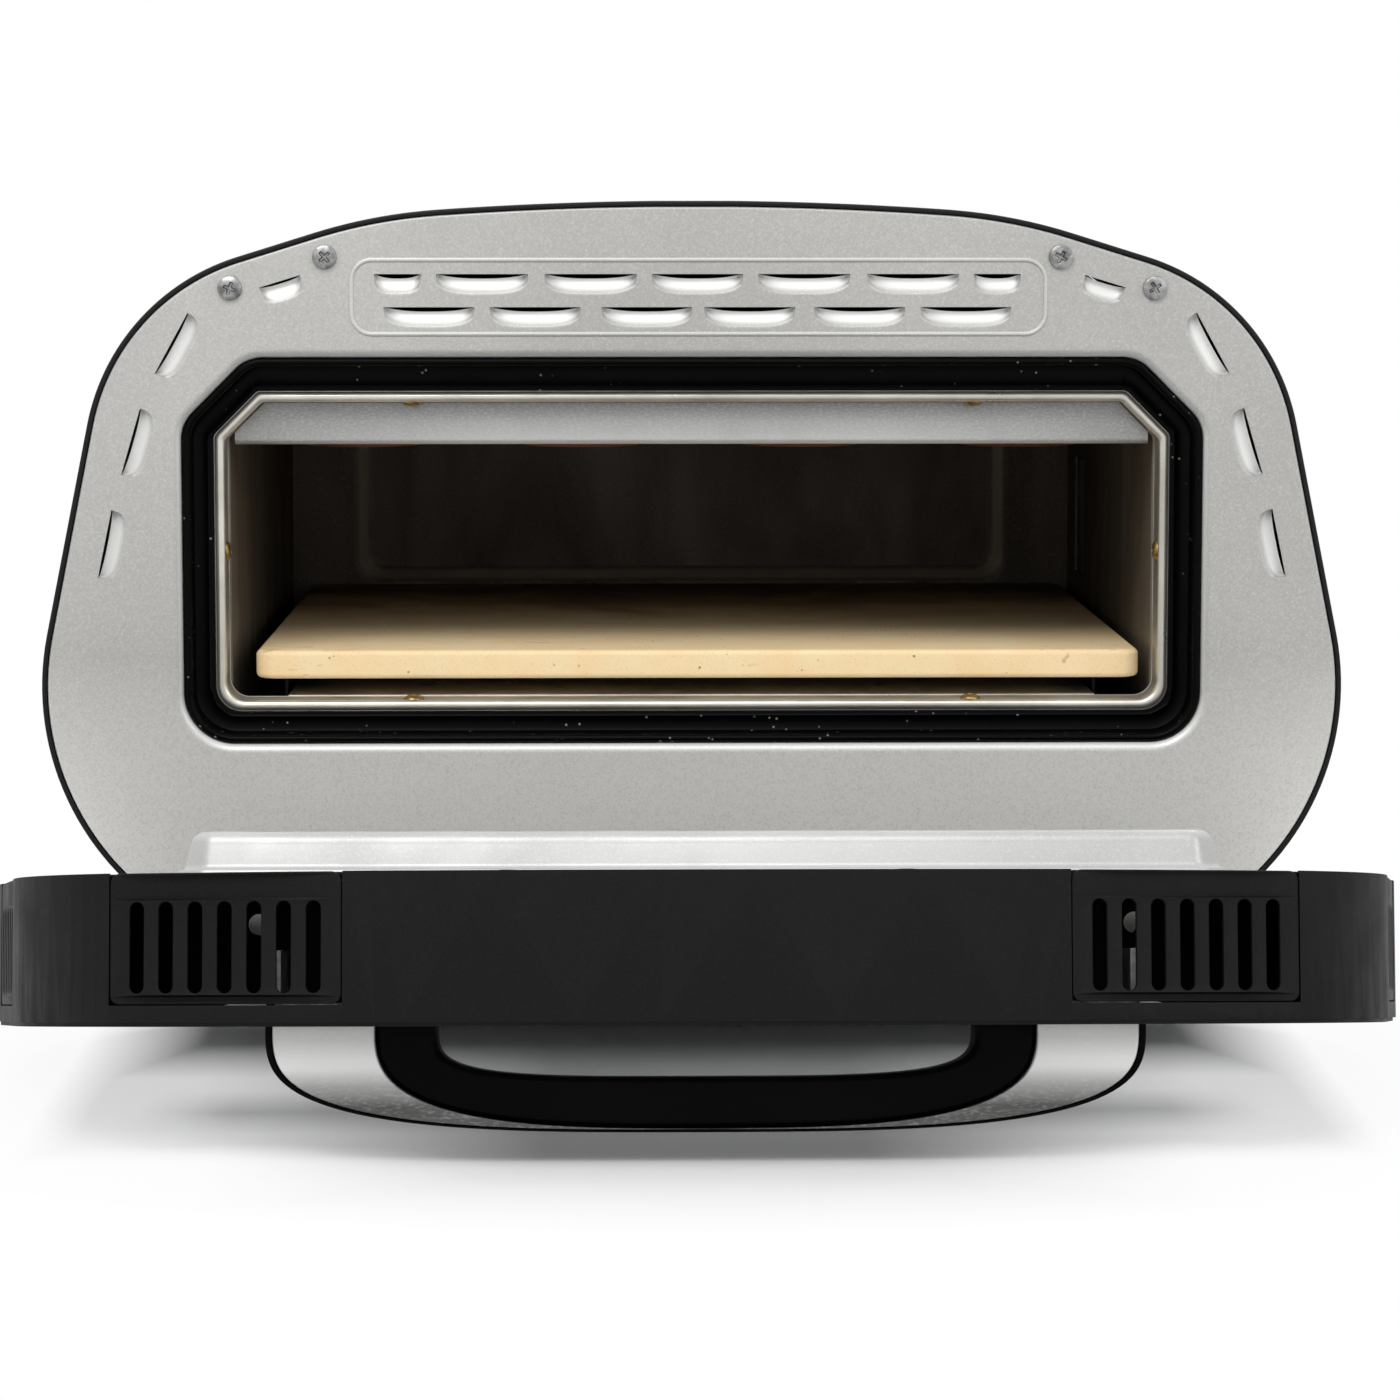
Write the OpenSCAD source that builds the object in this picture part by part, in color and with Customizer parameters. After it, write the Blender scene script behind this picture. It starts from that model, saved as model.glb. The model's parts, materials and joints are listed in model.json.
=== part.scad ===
/* [Body] */
// Depth of the body behind the face plate
body_depth = 378; // [330:1:420]
// Thickness of the outer shell
shell_wall = 1.8; // [1.2:0.1:3]
// Radius of a rubber foot
foot_r = 14; // [10:0.5:18]

/* [Oven] */
// Thickness of the pizza stone
stone_thick = 10.2; // [8:0.1:14]
// Width of the pizza stone
stone_wide = 319.5; // [300:0.5:322]
// Radius of a heater tube
heater_r = 3.3; // [2.5:0.1:4]

/* [Door] */
// Thickness of the door
door_thick = 46.3; // [38:0.1:50]
// Angle between the closed and the open door
door_open = 80; // [0:1:80]
// How far the handle stands off the door
handle_out = 32.2; // [28:0.5:36]

/* [Controls] */
// Radius of a dial
dial_r = 21; // [16:0.5:24]
// Radius of the lamp button
button_r = 7; // [5:0.5:9]

/* [Hidden] */
$fn = 96;

// The face plate stands at FACE_Y, so the box around the open part is centred on the origin
FACE_Y = -53;

// Outline of the face: four pairs of tangent arcs, centre and radius of each
ARCH_C = [0, -999.5];
ARCH_R = 1290;
SHOULDER_C = [76.8, 97.8];
SHOULDER_R = 190;
CORNER_C = [137.2, 196.3];
CORNER_R = 78;
LOWER_C = [134.9, 118];
LOWER_R = 96;
ARCH_END = 85.996;
SLOPE_ANGLE = 72.65;
SIDE_ANGLE = 11.6;
BODY_BOTTOM = 22;

// Steel and gaps
SHEET = 1.2;
GAP = 0.3;
BACK_Y = body_depth;

// Mouth in the face plate: half width, bottom, top, corner chamfer, radii
MOUTH_HW = 181.8;
MOUTH_Z0 = 97.5;
MOUTH_Z1 = 236.6;
MOUTH_CUT = 24;
MOUTH_RC = 14;
MOUTH_RB = 19;
FLANGE_Y = 16;

// Inner steel frame around the oven
FRAME_HW = 170.2;
FRAME_Z0 = 109;
FRAME_Z1 = 222.9;
FRAME_CUT = 15.5;
FRAME_RC = 3;
FRAME_RB = 9;
FRAME_WALL = 3.6;
FRAME_FRONT = 14;
FRAME_BACK = 30;

// Oven cavity, inside faces
CAV_HW = 166;
CAV_Z0 = 97;
CAV_Z1 = 224;
CAV_Y0 = FRAME_BACK + GAP;
CAV_Y1 = 332;

// Stone
STONE_X = 2.2;
STONE_Y0 = 26;
STONE_Y1 = 326;
STONE_Z = 119.2;

// Hinge axis and the closed door, measured from the face plate
HINGE_Y = -12;
HINGE_Z = 36;
HINGE_X = 112;
DOOR_IN = -0.6;
DOOR_OUT = DOOR_IN - door_thick;
DOOR_GROW = 2.5;

// Right side wall: a point on it and the angle that turns +Z onto its normal
SIDE_X = 221.3;
SIDE_Z = 174.7;
SIDE_TURN = 90 - SIDE_ANGLE;
TEMP_Y = 165;
TIMER_Y = 233;
BUTTON_Y = 288;
LENS_Y = 316;
PANEL_T = 2;

function arc(c, r, a0, a1, n, first = 1) =
  [for (i = [first:n]) c + r * [cos(a0 + (a1 - a0) * i / n), sin(a0 + (a1 - a0) * i / n)]];

function both(half) = concat(half, [for (i = [len(half) - 1:-1:0]) [-half[i][0], half[i][1]]]);

// Right half of the outline moved outward by g, top to bottom
function half_edge(g) = concat(
  arc(ARCH_C, ARCH_R + g, 90 - 0.6, ARCH_END, 3, 0),
  arc(SHOULDER_C, SHOULDER_R + g, ARCH_END, SLOPE_ANGLE, 5),
  arc(CORNER_C, CORNER_R + g, SLOPE_ANGLE, SIDE_ANGLE, 16),
  arc(LOWER_C, LOWER_R + g, SIDE_ANGLE, -90, 26, 0)
);

// Right half of a mouth with cut top corners, bottom to top
function half_mouth(hw, z0, z1, cut, rc, rb) =
  let(t = rc * tan(22.5))
  concat(
    arc([hw - rb, z0 + rb], rb, -90, 0, 8, 0),
    arc([hw - rc, z1 - cut - t], rc, 0, 45, 5, 0),
    arc([hw - cut - t, z1 - rc], rc, 45, 90, 5, 0)
  );

module outline(g = 0) {
  polygon(both(half_edge(g)));
}

module mouth(d = 0) {
  polygon(both(half_mouth(
    MOUTH_HW - d, MOUTH_Z0 + d, MOUTH_Z1 - d, MOUTH_CUT - 0.586 * d, MOUTH_RC - d * 0.6, MOUTH_RB - d
  )));
}

module frame_mouth(d = 0) {
  polygon(both(half_mouth(
    FRAME_HW - d, FRAME_Z0 + d, FRAME_Z1 - d, FRAME_CUT - 0.586 * d, FRAME_RC, FRAME_RB - d * 0.6
  )));
}

module box_2d(hw, z0, z1, r = 0.01) {
  polygon(both(concat(
    arc([hw - r, z0 + r], r, -90, 0, 6, 0),
    arc([hw - r, z1 - r], r, 0, 90, 6, 0)
  )));
}

// A flat shape drawn in X and Z, made solid from y0 to y1 behind the face plate
module upright(y0, y1) {
  translate([0, y1, 0]) rotate([90, 0, 0]) linear_extrude(y1 - y0) children();
}

// A flat shape drawn in Y and Z, made solid from x0 to x1
module crosswise(x0, x1) {
  translate([x0, 0, 0]) rotate([90, 0, 90]) linear_extrude(x1 - x0) children();
}

module placed() {
  translate([0, FACE_Y, 0]) children();
}

// Everything on the door is drawn closed and then swung open
module on_door() {
  translate([0, FACE_Y + HINGE_Y, HINGE_Z])
    rotate([door_open, 0, 0])
      translate([0, -HINGE_Y, -HINGE_Z])
        children();
}

// Local +Z points out of the right side wall at depth y
module on_side(y) {
  placed() translate([SIDE_X, y, SIDE_Z]) rotate([0, SIDE_TURN, 0]) children();
}

module mirrored() {
  for (s = [0, 1]) mirror([s, 0, 0]) children();
}

module along_y(r, y0, y1) {
  translate([0, y1, 0]) rotate([90, 0, 0]) cylinder(r = r, h = y1 - y0);
}

module along_x(r, x0, x1) {
  translate([x0, 0, 0]) rotate([0, 90, 0]) cylinder(r = r, h = x1 - x0);
}

// Screw head with a cross recess, standing on z = 0 with its shank below
module screw(head_r, head_h, shank_r, shank_l) {
  difference() {
    union() {
      cylinder(r = head_r, h = head_h * 0.55);
      translate([0, 0, head_h * 0.55]) cylinder(r1 = head_r, r2 = head_r * 0.72, h = head_h * 0.45);
      translate([0, 0, -shank_l]) cylinder(r = shank_r, h = shank_l + 0.1);
    }
    for (a = [0, 90])
      rotate([0, 0, a]) translate([-head_r * 0.55, -head_r * 0.13, head_h * 0.4])
        cube([head_r * 1.1, head_r * 0.26, head_h]);
  }
}

// Body

SHELL_SPLIT = 44;
// Holes behind the controls: depth and radius
SIDE_HOLES = [[TEMP_Y, 5], [TIMER_Y, 5], [BUTTON_Y, 9], [LENS_Y, 3]];
SIDE_SLOTS = 9;

module shell_ring(y0, y1) {
  upright(y0, y1) difference() {
    outline(0);
    outline(-shell_wall);
  }
}

module side_slots() {
  for (i = [0:SIDE_SLOTS - 1])
    translate([-260, 230 + i * 12, 150]) cube([80, 5, 48]);
}

module outer_shell() {
  color([0.1, 0.1, 0.1]) placed() difference() {
    shell_ring(0, BACK_Y);
    translate([-260, -1, -10]) cube([520, BACK_Y + 2, SHELL_SPLIT + 10]);
    side_slots();
    for (hole = SIDE_HOLES)
      translate([SIDE_X, hole[0], SIDE_Z]) rotate([0, SIDE_TURN, 0]) translate([0, 0, -6])
        cylinder(r = hole[1], h = 12);
  }
}

FOOT_X = 112;
FOOT_Y = [38, 340];

module base_pan() {
  color([0.12, 0.12, 0.12]) placed() difference() {
    intersection() {
      shell_ring(0, BACK_Y);
      translate([-260, -1, -10]) cube([520, BACK_Y + 2, SHELL_SPLIT + 10 - GAP]);
    }
    for (x = [-90:18:90], y = [110, 180, 250])
      translate([x - 3, y, 10]) cube([6, 46, 20]);
    mirrored() for (y = FOOT_Y) translate([FOOT_X, y, 10]) cylinder(r = 2.6, h = 20);
  }
}

module feet() {
  color([0.05, 0.05, 0.05]) placed() mirrored() for (y = FOOT_Y)
    translate([FOOT_X, y, 0]) difference() {
      rotate_extrude() polygon([
        [0, 0], [foot_r - 2.5, 0], [foot_r - 1, 1.2], [foot_r, BODY_BOTTOM - 3],
        [foot_r, BODY_BOTTOM], [0, BODY_BOTTOM]
      ]);
      translate([0, 0, -1]) cylinder(r = 5.5, h = 13);
      cylinder(r = 2.6, h = 40);
    }
}

module foot_screws() {
  color([0.6, 0.6, 0.6]) placed() mirrored() for (y = FOOT_Y)
    translate([FOOT_X, y, 12]) rotate([180, 0, 0]) screw(4.6, 3, 2.4, 20);
}

REAR_SCREWS = [[150, 255], [205, 190], [208, 90], [110, 34]];
INLET_X = 120;
INLET_Z = 76;

module rear_panel() {
  color([0.14, 0.14, 0.14]) placed() difference() {
    upright(BACK_Y - SHEET - 2, BACK_Y - 2) difference() {
      outline(-shell_wall - GAP);
      for (i = [0:11], z = [150, 190, 230])
        translate([i * 22 - 128, z]) square([14, 5]);
      translate([INLET_X - 16, INLET_Z - 12]) square([32, 24]);
    }
    mirrored() for (p = REAR_SCREWS)
      translate([p[0], 0, p[1]]) along_y(2.2, BACK_Y - 6, BACK_Y + 2);
  }
}

module rear_screws() {
  color([0.6, 0.6, 0.6]) placed() mirrored() for (p = REAR_SCREWS)
    translate([p[0], BACK_Y - 2, p[1]]) rotate([-90, 0, 0]) screw(4, 2.6, 2, 8);
}

module power_inlet() {
  color([0.06, 0.06, 0.06]) placed() translate([INLET_X, BACK_Y - 2, INLET_Z]) {
    difference() {
      union() {
        translate([-15.7, -24, -11.7]) cube([31.4, 24.2, 23.4]);
        translate([-21, 0, -15]) cube([42, 2.4, 30]);
      }
      translate([-12, -18, -8]) cube([24, 22, 16]);
      mirrored() translate([18, 0, 0]) along_y(1.6, -1, 4);
    }
    for (x = [-7, 0, 7])
      translate([x - 1, -19, -3]) cube([2, 14, 5]);
  }
}

module terminal_block() {
  color([0.85, 0.83, 0.78]) placed() translate([60, 300, BODY_BOTTOM + shell_wall]) difference() {
    cube([56, 22, 16]);
    for (i = [0:4]) translate([6 + i * 11, 11, 6]) cylinder(r = 2.6, h = 12);
  }
}

// Face plate

TOP_LOUVRES = [-103.9, -74.2, -36, 1.5, 39.1, 77.5, 107.1];
TOP_LOUVRE_W = [16.6, 32.4, 32.6, 32.2, 32.6, 32.4, 16.6];
LOW_LOUVRES = [-92.9, -55.6, -16.3, 19.9, 58.7, 96.1];
LOUVRE_W = 32;
// Place, angle and length of each louvre beside the mouth
SIDE_LOUVRES = [
  [145.3, 262.3, -17, 15], [183.7, 240.6, -61, 24.5], [198.4, 206, -73.5, 24.5],
  [208, 169.9, -78, 24.5]
];
FACE_SCREWS = [[162.8, 259.8], [129.5, 270.7]];

// A louvre as long as w, pressed inward below a straight cut: the bowl is a slice of a long
// round-ended bar that lies in front of the plate
BOWL_R = 6.4;
BOWL_Y = -3.6;
BOWL_EDGE = 5.3;

module bowl_bar(w, r) {
  translate([0, BOWL_Y, 0]) union() {
    along_x(r, -w / 2 + BOWL_EDGE, w / 2 - BOWL_EDGE);
    for (s = [-1, 1]) translate([s * (w / 2 - BOWL_EDGE), 0, 0]) sphere(r = r);
  }
}

module louvre_slit(w) {
  difference() {
    bowl_bar(w, BOWL_R);
    translate([-w, -20, 0]) cube([w * 2, 40, 20]);
  }
}

module louvre_scoop(w) {
  difference() {
    bowl_bar(w, BOWL_R + 0.8);
    bowl_bar(w, BOWL_R);
    translate([-w, -40 + SHEET * 0.5, -20]) cube([w * 2, 40, 40]);
    translate([-w, -20, -0.9]) cube([w * 2, 40, 20]);
  }
}

module louvre_places() {
  for (i = [0:len(TOP_LOUVRES) - 1])
    translate([TOP_LOUVRES[i], 0, 264.6]) scooped(TOP_LOUVRE_W[i], $cut);
  for (x = LOW_LOUVRES) translate([x, 0, 253]) scooped(LOUVRE_W, $cut);
  mirrored() for (p = SIDE_LOUVRES)
    translate([p[0], 0, p[1]]) rotate([0, -p[2], 0]) translate([0, 0, 2.6]) scooped(p[3], $cut);
}

module scooped(w, cut) {
  if (cut) louvre_slit(w);
  else louvre_scoop(w);
}

module bead_2d(d) {
  translate([2, 0]) box_2d(123 - d, 243 + d, 270.6 - d, 8 - d);
}

module face_plate() {
  color([0.78, 0.78, 0.77]) placed() difference() {
    union() {
      difference() {
        upright(0, SHEET) difference() {
          outline(-shell_wall - GAP);
          mouth(0);
        }
        louvre_places($cut = true);
      }
      upright(-0.5, 0.1) difference() {
        bead_2d(0);
        bead_2d(1.1);
      }
      upright(0, FLANGE_Y) difference() {
        mouth(0);
        mouth(1);
      }
      louvre_places($cut = false);
    }
    mirrored() for (p = FACE_SCREWS)
      translate([p[0], 0, p[1]]) along_y(2.2, -2, 6);
    mirrored() translate([HINGE_X - 10.5, -2, HINGE_Z - 6.5]) cube([21, 6, 13]);
  }
}

module face_screws() {
  color([0.65, 0.65, 0.65]) placed() mirrored() for (p = FACE_SCREWS)
    translate([p[0], 0, p[1]]) rotate([90, 0, 0]) screw(4.1, 1.8, 2, 9);
}

// Oven

module frame_screw_places() {
  mirrored() translate([100, FRAME_SCREW_Y, FRAME_Z1 - FRAME_WALL]) rotate([180, 0, 0]) children();
  mirrored() translate([100, FRAME_SCREW_Y, FRAME_Z0 + FRAME_WALL]) children();
  mirrored() translate([FRAME_HW - FRAME_WALL, FRAME_SCREW_Y, 166]) rotate([0, -90, 0]) children();
}

module mouth_frame() {
  color([0.8, 0.78, 0.74]) placed() difference() {
    frame_ring();
    frame_screw_places() translate([0, 0, -5]) cylinder(r = 1.45, h = 5.5);
  }
}

module frame_ring() {
  union() {
    upright(FRAME_FRONT, FRAME_BACK) difference() {
      frame_mouth(0);
      frame_mouth(FRAME_WALL);
    }
    upright(FLANGE_Y + GAP, FLANGE_Y + GAP + SHEET) difference() {
      mouth(-6);
      frame_mouth(1);
    }
    upright(FRAME_BACK - SHEET, FRAME_BACK) difference() {
      box_2d(CAV_HW + 1, CAV_Z0 - 1, CAV_Z1 + 1, 2);
      frame_mouth(FRAME_WALL);
    }
  }
}

module mouth_seal() {
  color([0.03, 0.03, 0.03]) placed() {
    upright(SHEET, FLANGE_Y) difference() {
      mouth(1 + GAP);
      mouth(4);
    }
    upright(FLANGE_Y - 2.4, FLANGE_Y) difference() {
      mouth(3.9);
      frame_mouth(-GAP);
    }
  }
}

FRAME_SCREW_Y = 18.5;

module frame_screws() {
  color([0.72, 0.62, 0.42]) placed() frame_screw_places() translate([0, 0, 0.02]) screw(3.7, 1.7, 1.4, 3);
}

LAMP_Y = 281;
LAMP_Z = 161;
UPPER_X = [-140, -100, -60, -20, 20, 60, 100, 140];
LOWER_X = [-120, -60, 60, 120];
UPPER_Z = 205.2;
LOWER_Z = 108;

module cavity_liner() {
  color([0.5, 0.49, 0.47]) placed() difference() {
    upright(CAV_Y0, CAV_Y1) difference() {
      box_2d(CAV_HW + 1, CAV_Z0 - 1, CAV_Z1 + 1, 3);
      box_2d(CAV_HW, CAV_Z0, CAV_Z1, 2);
    }
    translate([CAV_HW - 5, LAMP_Y - 18, LAMP_Z - 24]) cube([12, 36, 48]);
    translate([PROBE_X, 222, PROBE_Z]) along_x(1.8, 0, 15);
  }
}

module cavity_back() {
  color([0.45, 0.44, 0.42]) placed() difference() {
    union() {
      upright(CAV_Y1 + GAP, CAV_Y1 + GAP + 1) difference() {
        box_2d(CAV_HW + 1, CAV_Z0 - 1, CAV_Z1 + 1, 3);
        box_2d(137, 132, 214, 6);
      }
      upright(CAV_Y1 + GAP, CAV_Y1 + GAP + 5) difference() {
        box_2d(138, 131, 215, 7);
        box_2d(137, 132, 214, 6);
      }
      upright(CAV_Y1 + GAP + 4, CAV_Y1 + GAP + 5) box_2d(138, 131, 215, 7);
    }
    for (x = [-140, -20, 20, 140]) translate([x, 0, UPPER_Z]) along_y(4, CAV_Y1 - 2, CAV_Y1 + 9);
    for (x = [-120, 120]) translate([x, 0, LOWER_Z]) along_y(4, CAV_Y1 - 2, CAV_Y1 + 9);
  }
}

BAFFLE_Y = 22.4;
BAFFLE_Z = 203.9;

module baffle() {
  color([0.68, 0.68, 0.67]) placed() {
    upright(BAFFLE_Y, BAFFLE_Y + SHEET) intersection() {
      frame_mouth(FRAME_WALL + GAP);
      translate([-163.5, BAFFLE_Z]) square([327, 40]);
    }
    translate([-160, BAFFLE_Y, BAFFLE_Z]) cube([320, 14, SHEET]);
    mirrored() translate([84, BAFFLE_Y + 0.5, 214]) cube([30, 2, 4]);
  }
}

// Steel shelf behind the frame that shields the front of the lower heater
module floor_shield() {
  color([0.66, 0.65, 0.62]) placed() {
    translate([-146, CAV_Y0, 111.7]) cube([292, 84, SHEET]);
    mirrored() translate([144.8, CAV_Y0, CAV_Z0]) cube([SHEET, 84, 14.8]);
  }
}

module pizza_stone() {
  color([0.93, 0.84, 0.68]) placed() translate([STONE_X, 0, 0]) {
    translate([0, (STONE_Y0 + STONE_Y1) / 2, STONE_Z]) {
      linear_extrude(stone_thick - 1.5) stone_2d(0);
      hull() {
        translate([0, 0, stone_thick - 1.51]) linear_extrude(0.01) stone_2d(0);
        translate([0, 0, stone_thick - 0.01]) linear_extrude(0.01) stone_2d(1.4);
      }
    }
  }
}

module stone_2d(d) {
  l = (STONE_Y1 - STONE_Y0) / 2;
  polygon(both(concat(
    arc([stone_wide / 2 - 7, 7 - l], 7 - d, -90, 0, 7, 0),
    arc([stone_wide / 2 - 7, l - 7], 7 - d, 0, 90, 7, 0)
  )));
}

RAIL_Y0 = 58;
RAIL_LONG = 266;

module stone_rails() {
  color([0.6, 0.6, 0.58]) placed() mirrored() translate([0, RAIL_Y0, 0]) {
    translate([148, 0, CAV_Z0]) cube([1.2, RAIL_LONG, STONE_Z - CAV_Z0]);
    translate([138, 0, STONE_Z - 1.2]) cube([10.2, RAIL_LONG, 1.2]);
    translate([148, 0, CAV_Z0]) cube([14, RAIL_LONG, 1.2]);
  }
}

// Half turn of a tube between x and x + w at depth y; front turns bulge toward the face
module tube_turn(x, w, y, front) {
  translate([x + w / 2, y, 0]) rotate([0, 0, front ? 180 : 0])
    rotate_extrude(angle = 180) translate([w / 2, 0]) circle(r = heater_r);
}

module upper_heaters() {
  color([0.32, 0.2, 0.15]) placed() translate([0, 0, UPPER_Z]) for (s = [0, 1]) {
    x0 = UPPER_X[s * 4];
    for (i = [0:3])
      translate([x0 + i * 40, 0, 0]) along_y(heater_r, 62, (i == 0 || i == 3) ? 352 : 288);
    tube_turn(x0, 40, 62, true);
    tube_turn(x0 + 80, 40, 62, true);
    tube_turn(x0 + 40, 40, 288, false);
  }
}

module lower_heater() {
  color([0.3, 0.2, 0.16]) placed() translate([0, 0, LOWER_Z]) {
    translate([-120, 0, 0]) along_y(heater_r, 80, 352);
    translate([120, 0, 0]) along_y(heater_r, 80, 352);
    translate([-60, 0, 0]) along_y(heater_r, 80, 260);
    translate([60, 0, 0]) along_y(heater_r, 80, 260);
    tube_turn(-120, 60, 80, true);
    tube_turn(60, 60, 80, true);
    tube_turn(-60, 120, 260, false);
  }
}

CLIP_Y = [110, 240];

module heater_clips() {
  color([0.62, 0.61, 0.6]) placed() {
    for (y = CLIP_Y) difference() {
      translate([-150, y, UPPER_Z - heater_r - 0.9]) cube([300, 6, CAV_Z1 - UPPER_Z + heater_r + 0.9]);
      for (x = UPPER_X) translate([x, 0, UPPER_Z]) along_y(heater_r + 0.05, y - 1, y + 7);
      for (i = [0:6]) translate([-134 + i * 40, y - 1, UPPER_Z - 6]) cube([28, 8, CAV_Z1 - UPPER_Z + 3.5]);
    }
    for (y = [120, 220]) difference() {
      translate([-128, y, CAV_Z0]) cube([256, 6, LOWER_Z - CAV_Z0 + heater_r + 1.6]);
      for (x = LOWER_X) translate([x, 0, LOWER_Z]) along_y(heater_r + 0.05, y - 1, y + 7);
      for (x = [-110, 70]) translate([x, y - 1, CAV_Z0 + 1.5]) cube([40, 8, 30]);
      translate([-50, y - 1, CAV_Z0 + 1.5]) cube([100, 8, 30]);
    }
  }
}

module heater_terminals() {
  color([0.9, 0.88, 0.84]) placed() {
    for (x = [-140, -20, 20, 140]) translate([x, 0, UPPER_Z]) terminal();
    for (x = [-120, 120]) translate([x, 0, LOWER_Z]) terminal();
  }
}

module terminal() {
  difference() {
    along_y(6.5, 338, 350);
    along_y(heater_r + 0.05, 336, 354);
  }
}

PROBE_X = 157;
PROBE_Z = 212;

module thermostat_probe() {
  color([0.75, 0.6, 0.4]) placed() translate([PROBE_X, 0, PROBE_Z]) {
    along_y(2.4, 150, 222);
    along_y(1, 221, 223);
    translate([0, 222, 0]) along_x(1, -0.5, 29);
    for (y = [165, 205]) translate([0, y, -4]) cube([CAV_HW - PROBE_X, 3, 1.6]);
  }
}

module lamp_window() {
  color([0.85, 0.88, 0.86, 0.5]) placed()
    translate([CAV_HW + 1 + GAP, LAMP_Y - 22, LAMP_Z - 28]) cube([2, 44, 56]);
}

module lamp_housing() {
  color([0.7, 0.7, 0.7]) placed() translate([CAV_HW + 3.6, LAMP_Y - 24, LAMP_Z - 30]) difference() {
    cube([22, 48, 60]);
    translate([-1, 1.2, 1.2]) cube([21.8, 45.6, 57.6]);
    translate([11, 24, 60]) cylinder(r = 7.2, h = 10, center = true);
  }
}

module lamp() {
  color([0.95, 0.92, 0.8]) placed() translate([CAV_HW + 14.6, LAMP_Y, LAMP_Z]) {
    translate([0, 0, 12]) cylinder(r = 6.8, h = 22);
    cylinder(r = 8, h = 12.2);
    sphere(r = 8);
  }
}

module insulation() {
  color([0.9, 0.87, 0.7]) placed() difference() {
    upright(FRAME_BACK + 2, CAV_Y1 - 4) difference() {
      box_2d(CAV_HW + 12, CAV_Z0 - 12, CAV_Z1 + 10, 6);
      box_2d(CAV_HW + 1 + GAP, CAV_Z0 - 1 - GAP, CAV_Z1 + 1 + GAP, 3);
    }
    translate([CAV_HW, LAMP_Y - 26, LAMP_Z - 32]) cube([30, 52, 72]);
    translate([PROBE_X, 222, PROBE_Z]) along_x(3, 0, 33);
  }
}

module thermal_cutout() {
  color([0.85, 0.85, 0.82]) placed() translate([-40, 200, CAV_Z1 + 11]) {
    cylinder(r = 9, h = 7);
    translate([-14, -4, 0]) cube([28, 8, 0.8]);
    for (s = [-1, 1]) translate([s * 5 - 0.4, -3, 6.9]) cube([0.8, 6, 8]);
  }
}

// Controls

module control_panel() {
  color([0.08, 0.08, 0.08]) on_side(0) difference() {
    linear_extrude(PANEL_T) translate([0, 232]) rotate(90) box_2d(104, -29, 29, 8);
    translate([0, TEMP_Y, -1]) cylinder(r = 4.2, h = 6);
    translate([0, TIMER_Y, -1]) cylinder(r = 4.2, h = 6);
    translate([0, BUTTON_Y, -1]) cylinder(r = button_r + 0.4, h = 6);
    translate([0, LENS_Y, -1]) cylinder(r = 2.5, h = 6);
  }
}

// A rotary control: a body behind the side wall with a bore for its shaft
module rotary_body(size, depth) {
  difference() {
    union() {
      translate([-size / 2, -size / 2, -10 - depth]) cube([size, size, depth]);
      translate([0, 0, -10.1]) cylinder(r = 4.9, h = 8.2);
    }
    translate([0, 0, -10 - depth / 2]) cylinder(r = 3.05, h = 40);
  }
}

module thermostat_body() {
  color([0.85, 0.84, 0.8]) on_side(TEMP_Y) rotary_body(36, 16);
}

module timer_body() {
  color([0.8, 0.8, 0.78]) on_side(TIMER_Y) rotary_body(40, 18);
}

module dial_shaft(depth) {
  difference() {
    translate([0, 0, -10 - depth / 2 + 0.5]) cylinder(r = 3, h = 20.5 + depth / 2);
    translate([1.8, -5, 4]) cube([5, 10, 20]);
  }
}

module temperature_shaft() {
  color([0.7, 0.7, 0.7]) on_side(TEMP_Y) dial_shaft(16);
}

module timer_shaft() {
  color([0.7, 0.7, 0.7]) on_side(TIMER_Y) dial_shaft(18);
}

DIAL_GRIPS = 24;

module dial() {
  difference() {
    translate([0, 0, PANEL_T + 0.5]) rotate_extrude() polygon([
      [0, 0], [dial_r, 0], [dial_r, 3], [dial_r - 2.4, 4.4], [dial_r - 3, 11.2],
      [dial_r - 4.2, 12.4], [0, 12.4]
    ]);
    translate([0, 0, PANEL_T - 1]) difference() {
      cylinder(r = dial_r - 5, h = 10);
      translate([0, 0, -1]) cylinder(r = 6, h = 12);
    }
    difference() {
      translate([0, 0, -1]) cylinder(r = 3.05, h = 12.1);
      translate([1.85, -5, 4]) cube([5, 10, 20]);
    }
    for (i = [0:DIAL_GRIPS - 1])
      rotate([0, 0, i * 360 / DIAL_GRIPS]) translate([dial_r - 1.7, 0, PANEL_T + 5])
        cylinder(r = 0.8, h = 12, $fn = 16);
    translate([-dial_r + 6, -0.7, PANEL_T + 12.4]) cube([8, 1.4, 2]);
  }
}

module temperature_dial() {
  color([0.1, 0.1, 0.1]) on_side(TEMP_Y) dial();
}

module timer_dial() {
  color([0.1, 0.1, 0.1]) on_side(TIMER_Y) dial();
}

module lamp_button() {
  color([0.15, 0.15, 0.15]) on_side(BUTTON_Y) {
    rotate_extrude() polygon([
      [0, -4], [button_r, -4], [button_r, PANEL_T + 3.4], [button_r - 0.8, PANEL_T + 4.2],
      [0, PANEL_T + 4.2]
    ]);
    translate([0, 0, -14]) cylinder(r = 2.4, h = 10.1);
  }
}

module switch_body() {
  color([0.12, 0.12, 0.12]) on_side(BUTTON_Y) difference() {
    translate([-9, -9, -26]) cube([18, 18, 17]);
    translate([0, 0, -20]) cylinder(r = 2.45, h = 14);
  }
}

module indicator_lens() {
  color([0.9, 0.25, 0.1]) on_side(LENS_Y) {
    translate([0, 0, -4]) cylinder(r = 2.4, h = 6.1);
    translate([0, 0, PANEL_T]) cylinder(r1 = 3.4, r2 = 2.6, h = 1.4);
  }
}

// Hinges

EAR_R = 6.5;
PIN_R = 3;
EAR_X = [-9.8, 5.8];

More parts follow.
